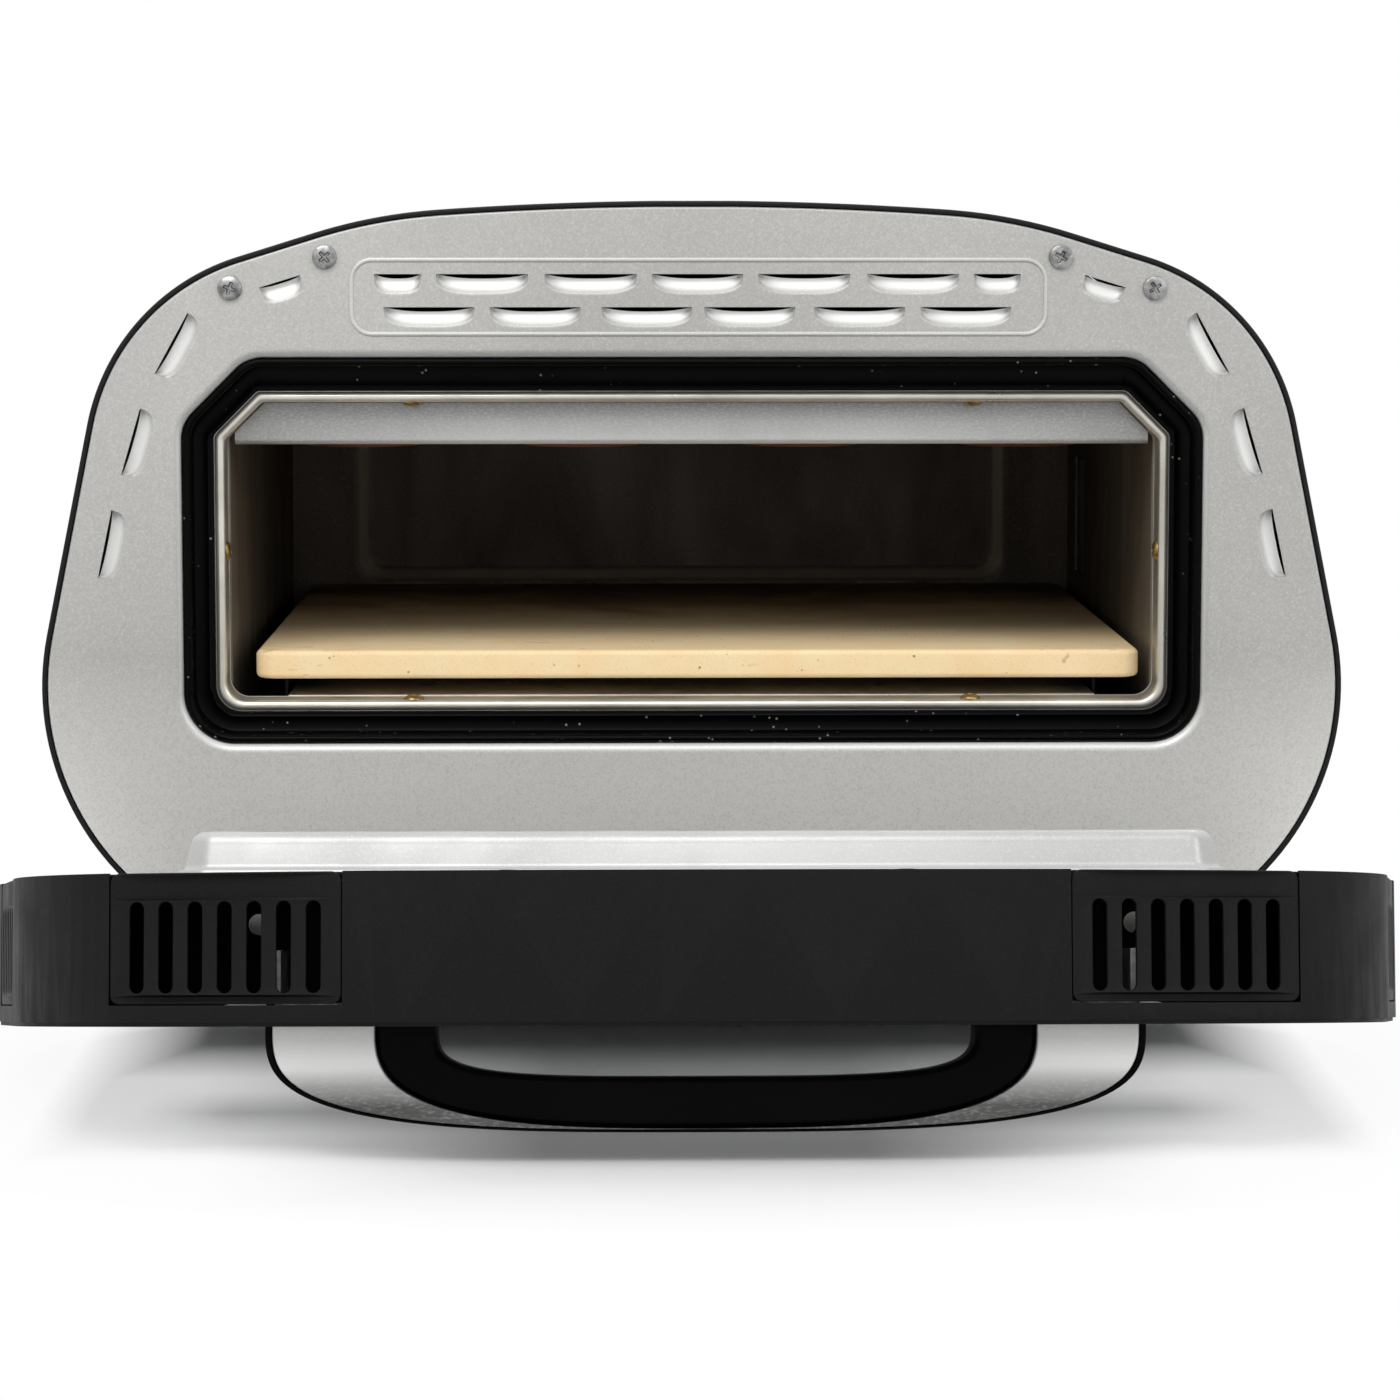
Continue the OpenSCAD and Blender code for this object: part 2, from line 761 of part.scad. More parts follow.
module ear(x0, x1, y1, r) {
  crosswise(x0, x1) translate([HINGE_Y, HINGE_Z]) union() {
    circle(r = r);
    translate([0, -r * 0.86]) square([y1 - HINGE_Y, r * 1.72]);
  }
}

module hinge_brackets() {
  color([0.6, 0.6, 0.6]) placed() mirrored() difference() {
    union() {
      for (x = EAR_X) ear(HINGE_X + x, HINGE_X + x + 4, 4, EAR_R);
      translate([HINGE_X - 18, SHEET + GAP, HINGE_Z - 10]) cube([36, 2.5, 44]);
    }
    translate([0, HINGE_Y, HINGE_Z]) along_x(PIN_R, HINGE_X - 20, HINGE_X + 20);
  }
}

module hinge_pins() {
  color([0.7, 0.7, 0.7]) placed() mirrored() translate([0, HINGE_Y, HINGE_Z])
    along_x(PIN_R, HINGE_X - 9.8, HINGE_X + 9.8);
}

module hinge_arms() {
  color([0.6, 0.6, 0.6]) on_door() mirrored() difference() {
    union() {
      crosswise(HINGE_X - 5.4, HINGE_X + 5.4) translate([HINGE_Y, HINGE_Z]) union() {
        circle(r = EAR_R);
        translate([-EAR_R, 0]) square([EAR_R * 1.6, 40]);
        translate([-EAR_R, 14]) square([EAR_R + 7.6, 44]);
      }
      translate([HINGE_X - 14, -6.4, HINGE_Z + 20]) cube([28, 2.4, 50]);
    }
    translate([0, HINGE_Y, HINGE_Z]) along_x(PIN_R + 0.05, HINGE_X - 20, HINGE_X + 20);
  }
}

module magnet() {
  color([0.2, 0.2, 0.2]) placed() mirrored()
    translate([211.5, SHEET + GAP, 144.5]) along_y(3.6, 0, 7);
}

// Door (drawn closed)

CASE_WALL = 3;

// Side view of what must be cut away under the hinge axis so the door can swing
module under_cut() {
  difference() {
    translate([HINGE_Y, HINGE_Z - 40]) square([40, 40]);
    translate([HINGE_Y, HINGE_Z]) circle(r = 10.2);
  }
  polygon([
    [HINGE_Y + 0.01, HINGE_Z - 10.2], [DOOR_OUT - 1, HINGE_Z - 16], [DOOR_OUT - 1, -10], [HINGE_Y + 0.01, -10]
  ]);
  polygon([
    [DOOR_OUT - 1, HINGE_Z + 24], [DOOR_OUT + 0.01, HINGE_Z + 24], [DOOR_OUT + 1.2, HINGE_Z + 6],
    [DOOR_OUT + 4, HINGE_Z - 4], [DOOR_OUT + 11, HINGE_Z - 17], [DOOR_OUT - 1, HINGE_Z - 17]
  ]);
}

// Sloping floor of the casing, rounded about the hinge axis
module skirt() {
  polygon([
    [HINGE_Y, HINGE_Z - 10.2], [DOOR_OUT + 1, HINGE_Z - 16], [DOOR_OUT + 1, HINGE_Z - 12.6],
    [HINGE_Y, HINGE_Z - 7.2]
  ]);
  intersection() {
    translate([HINGE_Y - 0.5, HINGE_Z - 12]) square([12, 12]);
    difference() {
      translate([HINGE_Y, HINGE_Z]) circle(r = 10.2);
      translate([HINGE_Y, HINGE_Z]) circle(r = 7.2);
    }
    translate([HINGE_Y - 1, HINGE_Z - 12]) square([DOOR_IN - 1.8 - HINGE_Y + 1, 12]);
  }
}

module hinge_room() {
  mirrored() translate([0, HINGE_Y, HINGE_Z]) along_x(13.2, HINGE_X - 10.6, HINGE_X + 10.6);
}

// Grille inserts: where they sit on the edge, and their slots
GRILLE_IN = 108.6;
GRILLE_OUT = 180.5;
GRILLE_Y0 = DOOR_OUT + 6.4;
GRILLE_Y1 = DOOR_IN;
SLOTS = 7;
SLOT_X = 117.3;
SLOT_PITCH = 9.05;
SLOT_W = 4.4;
SLOT_Y0 = DOOR_OUT + 10;
SLOT_Y1 = DOOR_IN - 8.8;

// A round-ended slot along Y, cut through upward
module slot(w, y0, y1, h) {
  linear_extrude(h) union() {
    translate([-w / 2, y0 + w / 2]) square([w, y1 - y0 - w]);
    translate([0, y0 + w / 2]) circle(r = w / 2);
    translate([0, y1 - w / 2]) circle(r = w / 2);
  }
}

module door_casing() {
  color([0.13, 0.13, 0.13]) on_door() difference() {
    union() {
      upright(DOOR_OUT + 1.2, DOOR_IN) difference() {
        outline(DOOR_GROW);
        outline(DOOR_GROW - CASE_WALL);
      }
      upright(DOOR_OUT, DOOR_OUT + 1.3) difference() {
        outline(DOOR_GROW - 1);
        outline(-7);
      }
      upright(DOOR_OUT + 1.2, DOOR_OUT + 3) difference() {
        outline(DOOR_GROW - 1);
        outline(-7);
      }
      crosswise(-136, 136) skirt();
    }
    crosswise(-260, 260) under_cut();
    hinge_room();
    grille_holes();
    end_holes();
  }
}

module grille_band(x0, x1, y0, y1, d0, d1) {
  intersection() {
    upright(y0, y1) difference() {
      outline(DOOR_GROW - d0);
      outline(DOOR_GROW - d1);
    }
    translate([x0, -100, 150]) cube([x1 - x0, 140, 200]);
  }
}

module grille_holes() {
  mirrored() translate([GRILLE_IN, GRILLE_Y0, 150]) cube([GRILLE_OUT - GRILLE_IN, 60, 200]);
}

module grille_inserts() {
  color([0.12, 0.12, 0.12]) on_door() difference() {
    mirrored() grille_band(GRILLE_IN + 0.3, GRILLE_OUT - 0.3, GRILLE_Y0 + 0.3, GRILLE_Y1, 0.2, 3);
    mirrored() for (i = [0:SLOTS - 1])
      translate([SLOT_X + i * SLOT_PITCH, 0, 150]) slot(SLOT_W, SLOT_Y0, SLOT_Y1, 200);
  }
}

END_Z = [150, 205];

module end_holes() {
  mirrored() translate([190, GRILLE_Y0, END_Z[0]]) cube([60, 60, END_Z[1] - END_Z[0]]);
}

module end_grilles() {
  color([0.12, 0.12, 0.12]) on_door() difference() {
    mirrored() intersection() {
      upright(GRILLE_Y0 + 0.3, GRILLE_Y1) difference() {
        outline(DOOR_GROW - 0.2);
        outline(DOOR_GROW - 3);
      }
      translate([190, -100, END_Z[0] + 0.3]) cube([60, 140, END_Z[1] - END_Z[0] - 0.6]);
    }
    mirrored() for (i = [0:5])
      translate([190, 0, END_Z[0] + 7 + i * 8.2]) rotate([0, 90, 0]) slot(SLOT_W, SLOT_Y0, SLOT_Y1, 60);
  }
}

// Boss of the inner panel, which plugs into the mouth frame
BOSS_HW = 160.5;
BOSS_Z0 = 106;
BOSS_Z1 = 228;
BOSS_CUT = 6;
BOSS_H = 14.3;
PAD_H = 2;

module boss_2d(d) {
  polygon(both(half_mouth(BOSS_HW - d, BOSS_Z0 + d, BOSS_Z1 - d, BOSS_CUT - 0.55 * d, 5 - d * 0.42, 10 - d * 0.4)));
}

module window_2d(d = 0) {
  box_2d(118 - d, 134 + d, 200 - d, 8 - d * 0.5);
}

// Drawn boss: steep wall with an eased upper edge; d shrinks it for the hollow inside
module boss_block(d) {
  hull() {
    upright(DOOR_IN - 1.3, DOOR_IN - 1.2) boss_2d(d);
    upright(DOOR_IN + BOSS_H - 4.6 - d, DOOR_IN + BOSS_H - 4.5 - d) boss_2d(1.2 + d);
    upright(DOOR_IN + BOSS_H - 1.4 - d, DOOR_IN + BOSS_H - 1.3 - d) boss_2d(2.7 + d);
    upright(DOOR_IN + BOSS_H - 0.1 - d, DOOR_IN + BOSS_H - d) boss_2d(5.8 + d);
  }
}

// Shallow step on which the boss stands
module pad_block(d) {
  upright(DOOR_IN - 1.3, DOOR_IN + PAD_H - d) boss_2d(d - 4);
}

module door_inner_panel() {
  color([0.76, 0.76, 0.75]) on_door() difference() {
    union() {
      upright(DOOR_IN - 1.2, DOOR_IN) outline(-1.5);
      pad_block(0);
      boss_block(0);
    }
    pad_block(1.2);
    boss_block(1.2);
    mirrored() for (p = FACE_SCREWS)
      translate([p[0], 0, p[1]]) along_y(5.4, DOOR_IN - 5, DOOR_IN + 3);
    upright(DOOR_IN - 5, DOOR_IN + BOSS_H + 2) window_2d();
    mirrored() for (p = DOOR_SCREWS)
      translate([p[0], 0, p[1]]) along_y(1.8, DOOR_IN - 5, DOOR_IN + 3);
    crosswise(-260, 260) under_cut();
    hinge_room();
  }
}

module door_screws() {
  color([0.62, 0.62, 0.62]) on_door() mirrored() for (p = DOOR_SCREWS)
    translate([p[0], DOOR_IN + 0.03, p[1]]) rotate([-90, 0, 0]) screw(3, 0.4, 1.6, 8);
}

DOOR_SCREWS = [[60, 279.5], [191, 188], [203, 118], [172, 68], [50, 62]];

module inner_glass() {
  color([0.75, 0.8, 0.78, 0.4]) on_door()
    upright(DOOR_IN + BOSS_H - 5.4, DOOR_IN + BOSS_H - 1.4) box_2d(126, 127, 207, 4);
}

module glass_retainers() {
  color([0.6, 0.6, 0.58]) on_door() {
    for (z = [124, 204]) translate([-128, DOOR_IN + BOSS_H - 7, z]) cube([256, 1.4, 6]);
    mirrored() translate([120, DOOR_IN + BOSS_H - 7, 129]) cube([8, 1.4, 76]);
  }
}

module door_outer_panel() {
  color([0.72, 0.72, 0.72]) on_door() difference() {
    upright(DOOR_OUT + 3.2, DOOR_OUT + 4.6) difference() {
      outline(-2);
      box_2d(128, 112, 226, 12);
    }
    handle_bores();
    translate([-260, -100, -20]) cube([520, 140, HINGE_Z + 20]);
  }
}

module outer_glass() {
  color([0.1, 0.1, 0.1, 0.6]) on_door()
    upright(DOOR_OUT + 4.8, DOOR_OUT + 8.8) box_2d(136, 104, 234, 8);
}

// Handle, drawn in X and out-of-door distance, then made solid upward
HANDLE_Z = 246;
HANDLE_TALL = 22;

function bow(w, h, e, n = 24) = [
  for (i = [0:n])
    let(a = 180 * i / n)
    [w * sign(cos(a)) * pow(abs(cos(a)), e), -h * pow(sin(a), e)]
];

// A bow with short straight ends that seat on the recessed outer panel
module bow_2d(w, h, e, foot = 3.1) {
  polygon(concat([[w, foot]], bow(w, h, e), [[-w, foot]]));
}

module on_handle(z0, z1) {
  translate([0, DOOR_OUT, z0]) linear_extrude(z1 - z0) children();
}

module handle_bores() {
  mirrored() translate([115, 0, HANDLE_Z + HANDLE_TALL / 2]) along_y(2.15, DOOR_OUT - 11.5, DOOR_OUT + 5);
}

module handle_grip() {
  color([0.04, 0.04, 0.04]) on_door() on_handle(HANDLE_Z + 0.6, HANDLE_Z + HANDLE_TALL - 0.6)
    difference() {
      bow_2d(99.7, handle_out - 2.5, 0.62);
      bow_2d(81.3, 15.5, 0.5, 5);
    }
}

module handle_trim() {
  color([0.78, 0.78, 0.78]) on_door() difference() {
    on_handle(HANDLE_Z, HANDLE_Z + HANDLE_TALL) difference() {
      bow_2d(130.9, handle_out - 0.9, 0.62);
      bow_2d(100, handle_out - 2.2, 0.62, 5);
    }
    handle_bores();
  }
}

module handle_edge() {
  color([0.05, 0.05, 0.05]) on_door() on_handle(HANDLE_Z + 0.4, HANDLE_Z + HANDLE_TALL - 0.4)
    difference() {
      bow_2d(133, handle_out, 0.62);
      bow_2d(131.2, handle_out - 0.6, 0.62, 5);
    }
}

module handle_brackets() {
  color([0.75, 0.75, 0.75]) on_door() mirrored() difference() {
    union() {
      translate([104, DOOR_OUT + 4.9, HANDLE_Z - 6]) cube([26, 2, 30]);
      translate([128, DOOR_OUT + 4.9, HANDLE_Z - 6]) cube([2, 18, 30]);
    }
    translate([115, 0, HANDLE_Z + 11]) along_y(2.2, DOOR_OUT - 4, DOOR_OUT + 12);
  }
}

module handle_screws() {
  color([0.6, 0.6, 0.6]) on_door() mirrored()
    translate([115, DOOR_OUT + 7, HANDLE_Z + 11]) rotate([-90, 0, 0]) screw(4, 2.6, 2.1, 18);
}

module striker() {
  color([0.6, 0.6, 0.6]) on_door() mirrored()
    translate([211.5, DOOR_IN, 144.5]) along_y(4, 0, 0.3);
}

outer_shell();
base_pan();
rear_panel();
rear_screws();
face_plate();
face_screws();
feet();
foot_screws();
power_inlet();
terminal_block();
mouth_frame();
mouth_seal();
frame_screws();
cavity_liner();
cavity_back();
baffle();
pizza_stone();
floor_shield();
stone_rails();
upper_heaters();
lower_heater();
heater_clips();
heater_terminals();
thermostat_probe();
lamp();
lamp_window();
lamp_housing();
insulation();
thermal_cutout();
control_panel();
thermostat_body();
timer_body();
switch_body();
indicator_lens();
temperature_shaft();
temperature_dial();
timer_shaft();
timer_dial();
lamp_button();
hinge_brackets();
hinge_pins();
magnet();
door_casing();
door_inner_panel();
door_screws();
inner_glass();
glass_retainers();
door_outer_panel();
outer_glass();
grille_inserts();
end_grilles();
hinge_arms();
handle_grip();
handle_trim();
handle_edge();
handle_brackets();
handle_screws();
striker();
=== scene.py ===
import json
import math

import bmesh
import bpy
import numpy as np
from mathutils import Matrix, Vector
from mathutils.geometry import tessellate_polygon

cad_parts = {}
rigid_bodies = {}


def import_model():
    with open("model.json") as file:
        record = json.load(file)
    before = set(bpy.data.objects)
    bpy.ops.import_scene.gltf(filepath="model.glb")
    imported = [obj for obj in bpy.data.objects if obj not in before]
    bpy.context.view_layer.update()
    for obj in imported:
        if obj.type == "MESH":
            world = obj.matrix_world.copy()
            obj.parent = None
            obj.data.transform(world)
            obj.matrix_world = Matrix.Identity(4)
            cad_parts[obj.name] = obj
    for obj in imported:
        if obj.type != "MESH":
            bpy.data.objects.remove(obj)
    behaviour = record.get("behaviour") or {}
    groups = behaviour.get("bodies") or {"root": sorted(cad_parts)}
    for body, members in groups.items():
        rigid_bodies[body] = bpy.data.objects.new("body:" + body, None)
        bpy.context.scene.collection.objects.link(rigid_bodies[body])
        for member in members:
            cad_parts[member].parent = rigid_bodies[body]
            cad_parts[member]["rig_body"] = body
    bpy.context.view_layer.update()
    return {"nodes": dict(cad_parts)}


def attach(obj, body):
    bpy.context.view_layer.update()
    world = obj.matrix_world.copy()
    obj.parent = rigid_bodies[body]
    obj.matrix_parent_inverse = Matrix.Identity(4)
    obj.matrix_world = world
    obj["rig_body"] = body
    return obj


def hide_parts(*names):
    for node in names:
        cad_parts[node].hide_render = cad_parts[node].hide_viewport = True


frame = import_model()

# Drawing frame: millimetres, X across, Y behind the face plate, Z up, door drawn closed
metres = 0.001
faceY = -53.0  # the face plate's front in the world
hinge = {"y": -12.0, "z": 36.0, "open": 80.0}
sideWall = {"x": 221.3, "z": 174.7, "turn": 78.4}
# the round lines of the face: centre, radius, first and last angle, points
edge = {
    "arch": ((0, -999.5), 1290, 89.4, 85.996, 12),
    "shoulder": ((76.8, 97.8), 190, 85.996, 72.65, 12),
    "corner": ((137.2, 196.3), 78, 72.65, 11.6, 30),
    "lower": ((134.9, 118), 96, 11.6, -90, 44),
}
mouthSize = {"half": 181.8, "low": 97.5, "high": 236.6, "cut": 24, "top": 14, "bottom": 19}
frameSize = {"half": 170.2, "low": 109, "high": 222.9, "cut": 15.5, "top": 3, "bottom": 9}
bossSize = {"half": 160.5, "low": 106, "high": 228, "cut": 6, "top": 5, "bottom": 10}
linerBox = {"half": 166.8, "low": 96.2, "high": 224.8, "cut": 3, "top": 2, "bottom": 2}
rearPress = {"y": 332.3, "deep": 4, "half": 137, "low": 132, "high": 214, "corner": 9}
doorIn, doorOut = -0.6, -46.9  # inner and outer side of the closed door


def onBody(points):
    return (points + [0, faceY, 0]) * metres


def onDoor(points):
    turn = math.radians(hinge["open"])
    y, z = points[:, 1] - hinge["y"], points[:, 2] - hinge["z"]
    swung = np.stack([
        points[:, 0],
        y * math.cos(turn) - z * math.sin(turn) + hinge["y"] + faceY,
        y * math.sin(turn) + z * math.cos(turn) + hinge["z"],
    ], 1)
    return swung * metres


def onSide(depth):
    # local +Z points out of the right side wall at that depth
    turn = math.radians(sideWall["turn"])

    def place(points):
        x, y, z = points[:, 0], points[:, 1], points[:, 2]
        return np.stack([
            sideWall["x"] + x * math.cos(turn) + z * math.sin(turn),
            depth + y + faceY,
            sideWall["z"] - x * math.sin(turn) + z * math.cos(turn),
        ], 1) * metres
    return place


# Outlines: each has the same number of points for every offset, so two of them can be joined
def arc(centre, radius, start, end, count):
    # centre + radius (cos a, sin a), angles in degrees
    angle = np.radians(np.linspace(start, end, count))
    return np.stack([centre[0] + radius * np.cos(angle), centre[1] + radius * np.sin(angle)], 1)


def both(half):
    # right half of a loop and its mirror in X
    return np.concatenate([half, half[::-1] * [-1, 1]])


def outline(grow=0.0):
    parts = []
    for name, (centre, radius, start, end, count) in edge.items():
        line = arc(centre, radius + grow, start, end, count)
        parts.append(line[1:] if name == "shoulder" else line)  # its first point ends the arch
    return both(np.concatenate(parts))


def cutMouth(size, shrink=0.0, top=0.6, bottom=1.0):
    # opening with cut top corners, shrunk evenly; 0.586 is 2 less the root of 2
    half, low, high = size["half"] - shrink, size["low"] + shrink, size["high"] - shrink
    cut, rc = size["cut"] - 0.586 * shrink, size["top"] - top * shrink
    rb = size["bottom"] - bottom * shrink
    t = rc * math.tan(math.radians(22.5))
    return both(np.concatenate([
        arc((half - rb, low + rb), rb, -90, 0, 15),
        arc((half - rc, high - cut - t), rc, 0, 45, 9),
        arc((half - cut - t, high - rc), rc, 45, 90, 9),
    ]))


def mouth(shrink=0.0):
    return cutMouth(mouthSize, shrink)


def frameMouth(shrink=0.0):
    return cutMouth(frameSize, shrink, 0, 0.6)


def bossLoop(shrink=0.0):
    return cutMouth(bossSize, shrink, 0.42, 0.4)


def roundBox(half, low, high, radius):
    return both(np.concatenate([
        arc((half - radius, low + radius), radius, -90, 0, 10),
        arc((half - radius, high - radius), radius, 0, 90, 10),
    ]))


# Surfaces: each function gives points and faces, which makePiece joins into one mesh
def gridPart(grid, closeU=False, closeV=False):
    # points of a (u, v) grid and the four-cornered faces between them
    ids = np.arange(grid.shape[0] * grid.shape[1]).reshape(grid.shape[:2])
    ids = np.concatenate([ids, ids[:1]], 0) if closeU else ids
    ids = np.concatenate([ids, ids[:, :1]], 1) if closeV else ids
    quads = np.stack([ids[:-1, :-1], ids[1:, :-1], ids[1:, 1:], ids[:-1, 1:]], -1)
    return grid.reshape(-1, 3), quads.reshape(-1, 4)


def ring(loop, y):
    # flat (x, z) points at one depth y
    return np.insert(np.asarray(loop, float), 1, y, axis=1)


def loft(rings, closeV=False):
    # u runs along the loops, v from loop to loop
    return gridPart(np.stack([ring(loop, y) for loop, y in rings], 1), True, closeV)


def sweep(loop, profile, closeV=False):
    # a profile of (offset, depth) carried round a loop that can grow by an offset
    return loft([(loop(d), y) for d, y in profile], closeV)


def fillPart(loops, y):
    # flat sheet with holes: the first loop is its edge, the others are its holes
    flat = np.concatenate(loops)
    shapes = [[Vector((x, z, 0)) for x, z in loop] for loop in loops]
    return np.insert(flat, 1, y, axis=1), np.array(tessellate_polygon(shapes))


def bend(centre, radius, start, end, count=7):
    # arc of a profile, as (offset, depth)
    return [tuple(p) for p in arc(centre, radius, start, end, count)]


def lathe(profile, count=64):
    # each (radius, height) turned about local Z
    angle = np.linspace(0, 2 * math.pi, count, endpoint=False)[:, None]
    r, z = np.array(profile, float).T
    grid = np.stack([r * np.cos(angle), r * np.sin(angle), z + 0 * angle], -1)
    return gridPart(grid, True)


def tube(path, radius, count=20):
    # circle carried along a path, its own axes kept level with the first bend
    path = np.array(path, float)
    ahead = np.gradient(path, axis=0)
    ahead /= np.linalg.norm(ahead, axis=1, keepdims=True)
    side = np.cross(ahead, [0, 0, 1.0])
    side /= np.linalg.norm(side, axis=1, keepdims=True)
    up = np.cross(side, ahead)
    angle = np.linspace(0, 2 * math.pi, count, endpoint=False)[None, :, None]
    grid = path[:, None] + radius * (side[:, None] * np.cos(angle) + up[:, None] * np.sin(angle))
    return gridPart(grid, False, True)


def moved(part, shift=(0, 0, 0), mirror=False, turn=None):
    # turned, then shifted, then mirrored in X
    points, faces = part
    if turn is not None:
        points = points @ np.array(turn, float).T
    points = points + shift
    return (points * [-1, 1, 1] if mirror else points), faces


def pair(part):
    return [part, moved(part, mirror=True)]


def capPart(loop, across, up):
    # flat end of a grid: its own points, filled in the plane of two of its axes
    return loop, np.array(tessellate_polygon([[Vector((p[across], p[up], 0)) for p in loop]]))


def makePiece(name, parts, place, body, look, stands, smooth=38):
    # parts joined, placed in the world and given to a body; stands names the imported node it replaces
    points, faces, start = [], [], 0
    for p, f in parts:
        points.append(p)
        faces += (f + start).tolist()
        start += len(p)
    mesh = bpy.data.meshes.new(name)
    mesh.from_pydata(place(np.concatenate(points)).tolist(), [], faces)
    finishPiece(name, mesh, body, look, stands, smooth)


def finishPiece(name, mesh, body, look, stands, smooth):
    # smooth is the angle in degrees past which an edge stays sharp
    work = bmesh.new()
    work.from_mesh(mesh)
    bmesh.ops.remove_doubles(work, verts=work.verts, dist=2e-6)
    bmesh.ops.dissolve_degenerate(work, edges=work.edges, dist=1e-6)
    bmesh.ops.recalc_face_normals(work, faces=work.faces)
    work.to_mesh(mesh)
    work.free()
    mesh.shade_smooth()
    mesh.set_sharp_from_angle(angle=math.radians(smooth))
    mesh.materials.clear()
    mesh.materials.append(looks[look])
    piece = bpy.data.objects.new(name, mesh)
    bpy.context.scene.collection.objects.link(piece)
    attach(piece, body)
    if stands:
        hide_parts(*stands)
    return piece


def easedCopy(node, width):
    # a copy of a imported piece, its sharp edges eased by that width in millimetres
    source = frame["nodes"][node]
    piece = finishPiece(node + "_eased", source.data.copy(), source["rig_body"], lookOf[node],
                        (node,), 30)
    ease = piece.modifiers.new("ease", "BEVEL")
    ease.width = width * metres
    ease.segments = 2
    ease.limit_method = "ANGLE"
    ease.angle_limit = math.radians(40)
    ease.harden_normals = True
    ease.use_clamp_overlap = True


def tone(red, green, blue):
    # screen values 0 to 255 as linear light
    def line(v):
        v /= 255
        return v / 12.92 if v <= 0.04045 else ((v + 0.055) / 1.055) ** 2.4
    return (line(red), line(green), line(blue), 1)


class Nodes:
    # short hand for one material's node tree
    def __init__(self, name):
        self.material = bpy.data.materials.new(name)
        self.material.use_nodes = True
        self.tree = self.material.node_tree
        self.shader = self.tree.nodes["Principled BSDF"]
        read = self.tree.nodes.new("ShaderNodeTexCoord")
        self.place, self.normal = read.outputs["Object"], read.outputs["Normal"]

    def node(self, kind, inputs=None, **settings):
        made = self.tree.nodes.new(kind)
        for key, value in settings.items():
            setattr(made, key, value)
        for key, value in (inputs or {}).items():
            if isinstance(value, bpy.types.NodeSocket):
                self.tree.links.new(value, made.inputs[key])
            else:
                made.inputs[key].default_value = value
        return made

    def set(self, **values):
        for key, value in values.items():
            socket = self.shader.inputs[key.replace("_", " ")]
            if isinstance(value, bpy.types.NodeSocket):
                self.tree.links.new(value, socket)
            else:
                socket.default_value = value

    def noise(self, scale, detail=3.0, rough=0.55, stretch=None, warp=0.0):
        vector = self.place
        if stretch:
            vector = self.node("ShaderNodeMapping", {"Vector": vector, "Scale": stretch}).outputs[0]
        return self.node("ShaderNodeTexNoise", {
            "Vector": vector, "Scale": scale, "Detail": detail, "Roughness": rough,
            "Distortion": warp}).outputs["Fac"]

    def cells(self, scale):
        return self.node("ShaderNodeTexVoronoi", {"Vector": self.place, "Scale": scale}).outputs["Distance"]

    def ramp(self, value, low, high, out0=0.0, out1=1.0):
        return self.node("ShaderNodeMapRange", {
            "Value": value, "From Min": low, "From Max": high, "To Min": out0,
            "To Max": out1}).outputs[0]

    def mix(self, amount, first, second):
        made = self.node("ShaderNodeMix", data_type="RGBA")
        for socket, value in ((made.inputs[0], amount), (made.inputs[6], first), (made.inputs[7], second)):
            if isinstance(value, bpy.types.NodeSocket):
                self.tree.links.new(value, socket)
            else:
                socket.default_value = value
        return made.outputs[2]

    def wash(self, colour, amount):
        # lays a colour of screen values over the base so far, as strongly as amount says
        self.base = self.mix(amount, self.base, tone(*colour))

    def maths(self, how, first, second=0.0):
        return self.node("ShaderNodeMath", {0: first, 1: second}, operation=how).outputs[0]

    def away(self, value, level):
        # distance from a level, either way
        return self.maths("ABSOLUTE", self.maths("SUBTRACT", value, level))

    def axis(self, which):
        return self.node("ShaderNodeSeparateXYZ", {0: self.place}).outputs[which]

    def bump(self, height, strength, distance):
        made = self.node("ShaderNodeBump", {
            "Height": height, "Strength": strength, "Distance": distance})
        self.set(Normal=made.outputs[0])


# what a finish below leaves out; colours are screen values, rough goes from the least to the most
plainLook = {"blotch": 14, "grain": 900, "grainMix": 0.5, "speckScale": 420, "stretch": None, "metal": 0.0,
             "relief": 0.2, "reliefDepth": 0.00005}
shaderInputs = {"coat": "Coat_Weight", "coatRough": "Coat_Roughness", "specular": "Specular_IOR_Level"}


def surface(name, look):
    # blotches between two colours, fine grain, specks, painted shade on one side where asked, uneven gloss
    # and a shallow relief
    look = {**plainLook, **look}
    n = Nodes(name)
    blotch = n.noise(look["blotch"], 4, 0.6, None, 0.4)
    n.base = n.mix(n.ramp(blotch, 0.35, 0.65), tone(*look["dark"]), tone(*look["light"]))
    grain = n.noise(look["grain"], 2, 0.6, look["stretch"])
    if "grainColour" in look:
        n.wash(look["grainColour"], n.ramp(grain, 0.5, 0.72, 0, look["grainMix"]))
    if "speck" in look:
        dots = n.cells(look["speckScale"])
        rare = n.noise(look["speckScale"] * 0.31, 1)
        hit = n.maths("MULTIPLY", n.ramp(dots, 0.16, 0.08), n.ramp(rare, 0.55, 0.62))
        n.wash(look["speck"], n.maths("MULTIPLY", hit, 0.6))
    if "unlit" in look:
        # painted shade: the side whose normal points along +Z or -Z of the object is darkened, as if unlit
        tilt = n.node("ShaderNodeSeparateXYZ", {0: n.normal}).outputs[2]
        n.wash((20, 20, 20), n.ramp(tilt, 0.3 * look["unlit"], 0.7 * look["unlit"]))
    gloss = n.noise(60, 4, 0.6, look["stretch"])
    n.set(Base_Color=n.base, Metallic=look["metal"], Roughness=n.ramp(gloss, 0.3, 0.7, *look["rough"]))
    n.set(**{socket: look[key] for key, socket in shaderInputs.items() if key in look})
    n.bump(grain, look["relief"], look["reliefDepth"])
    return n.material


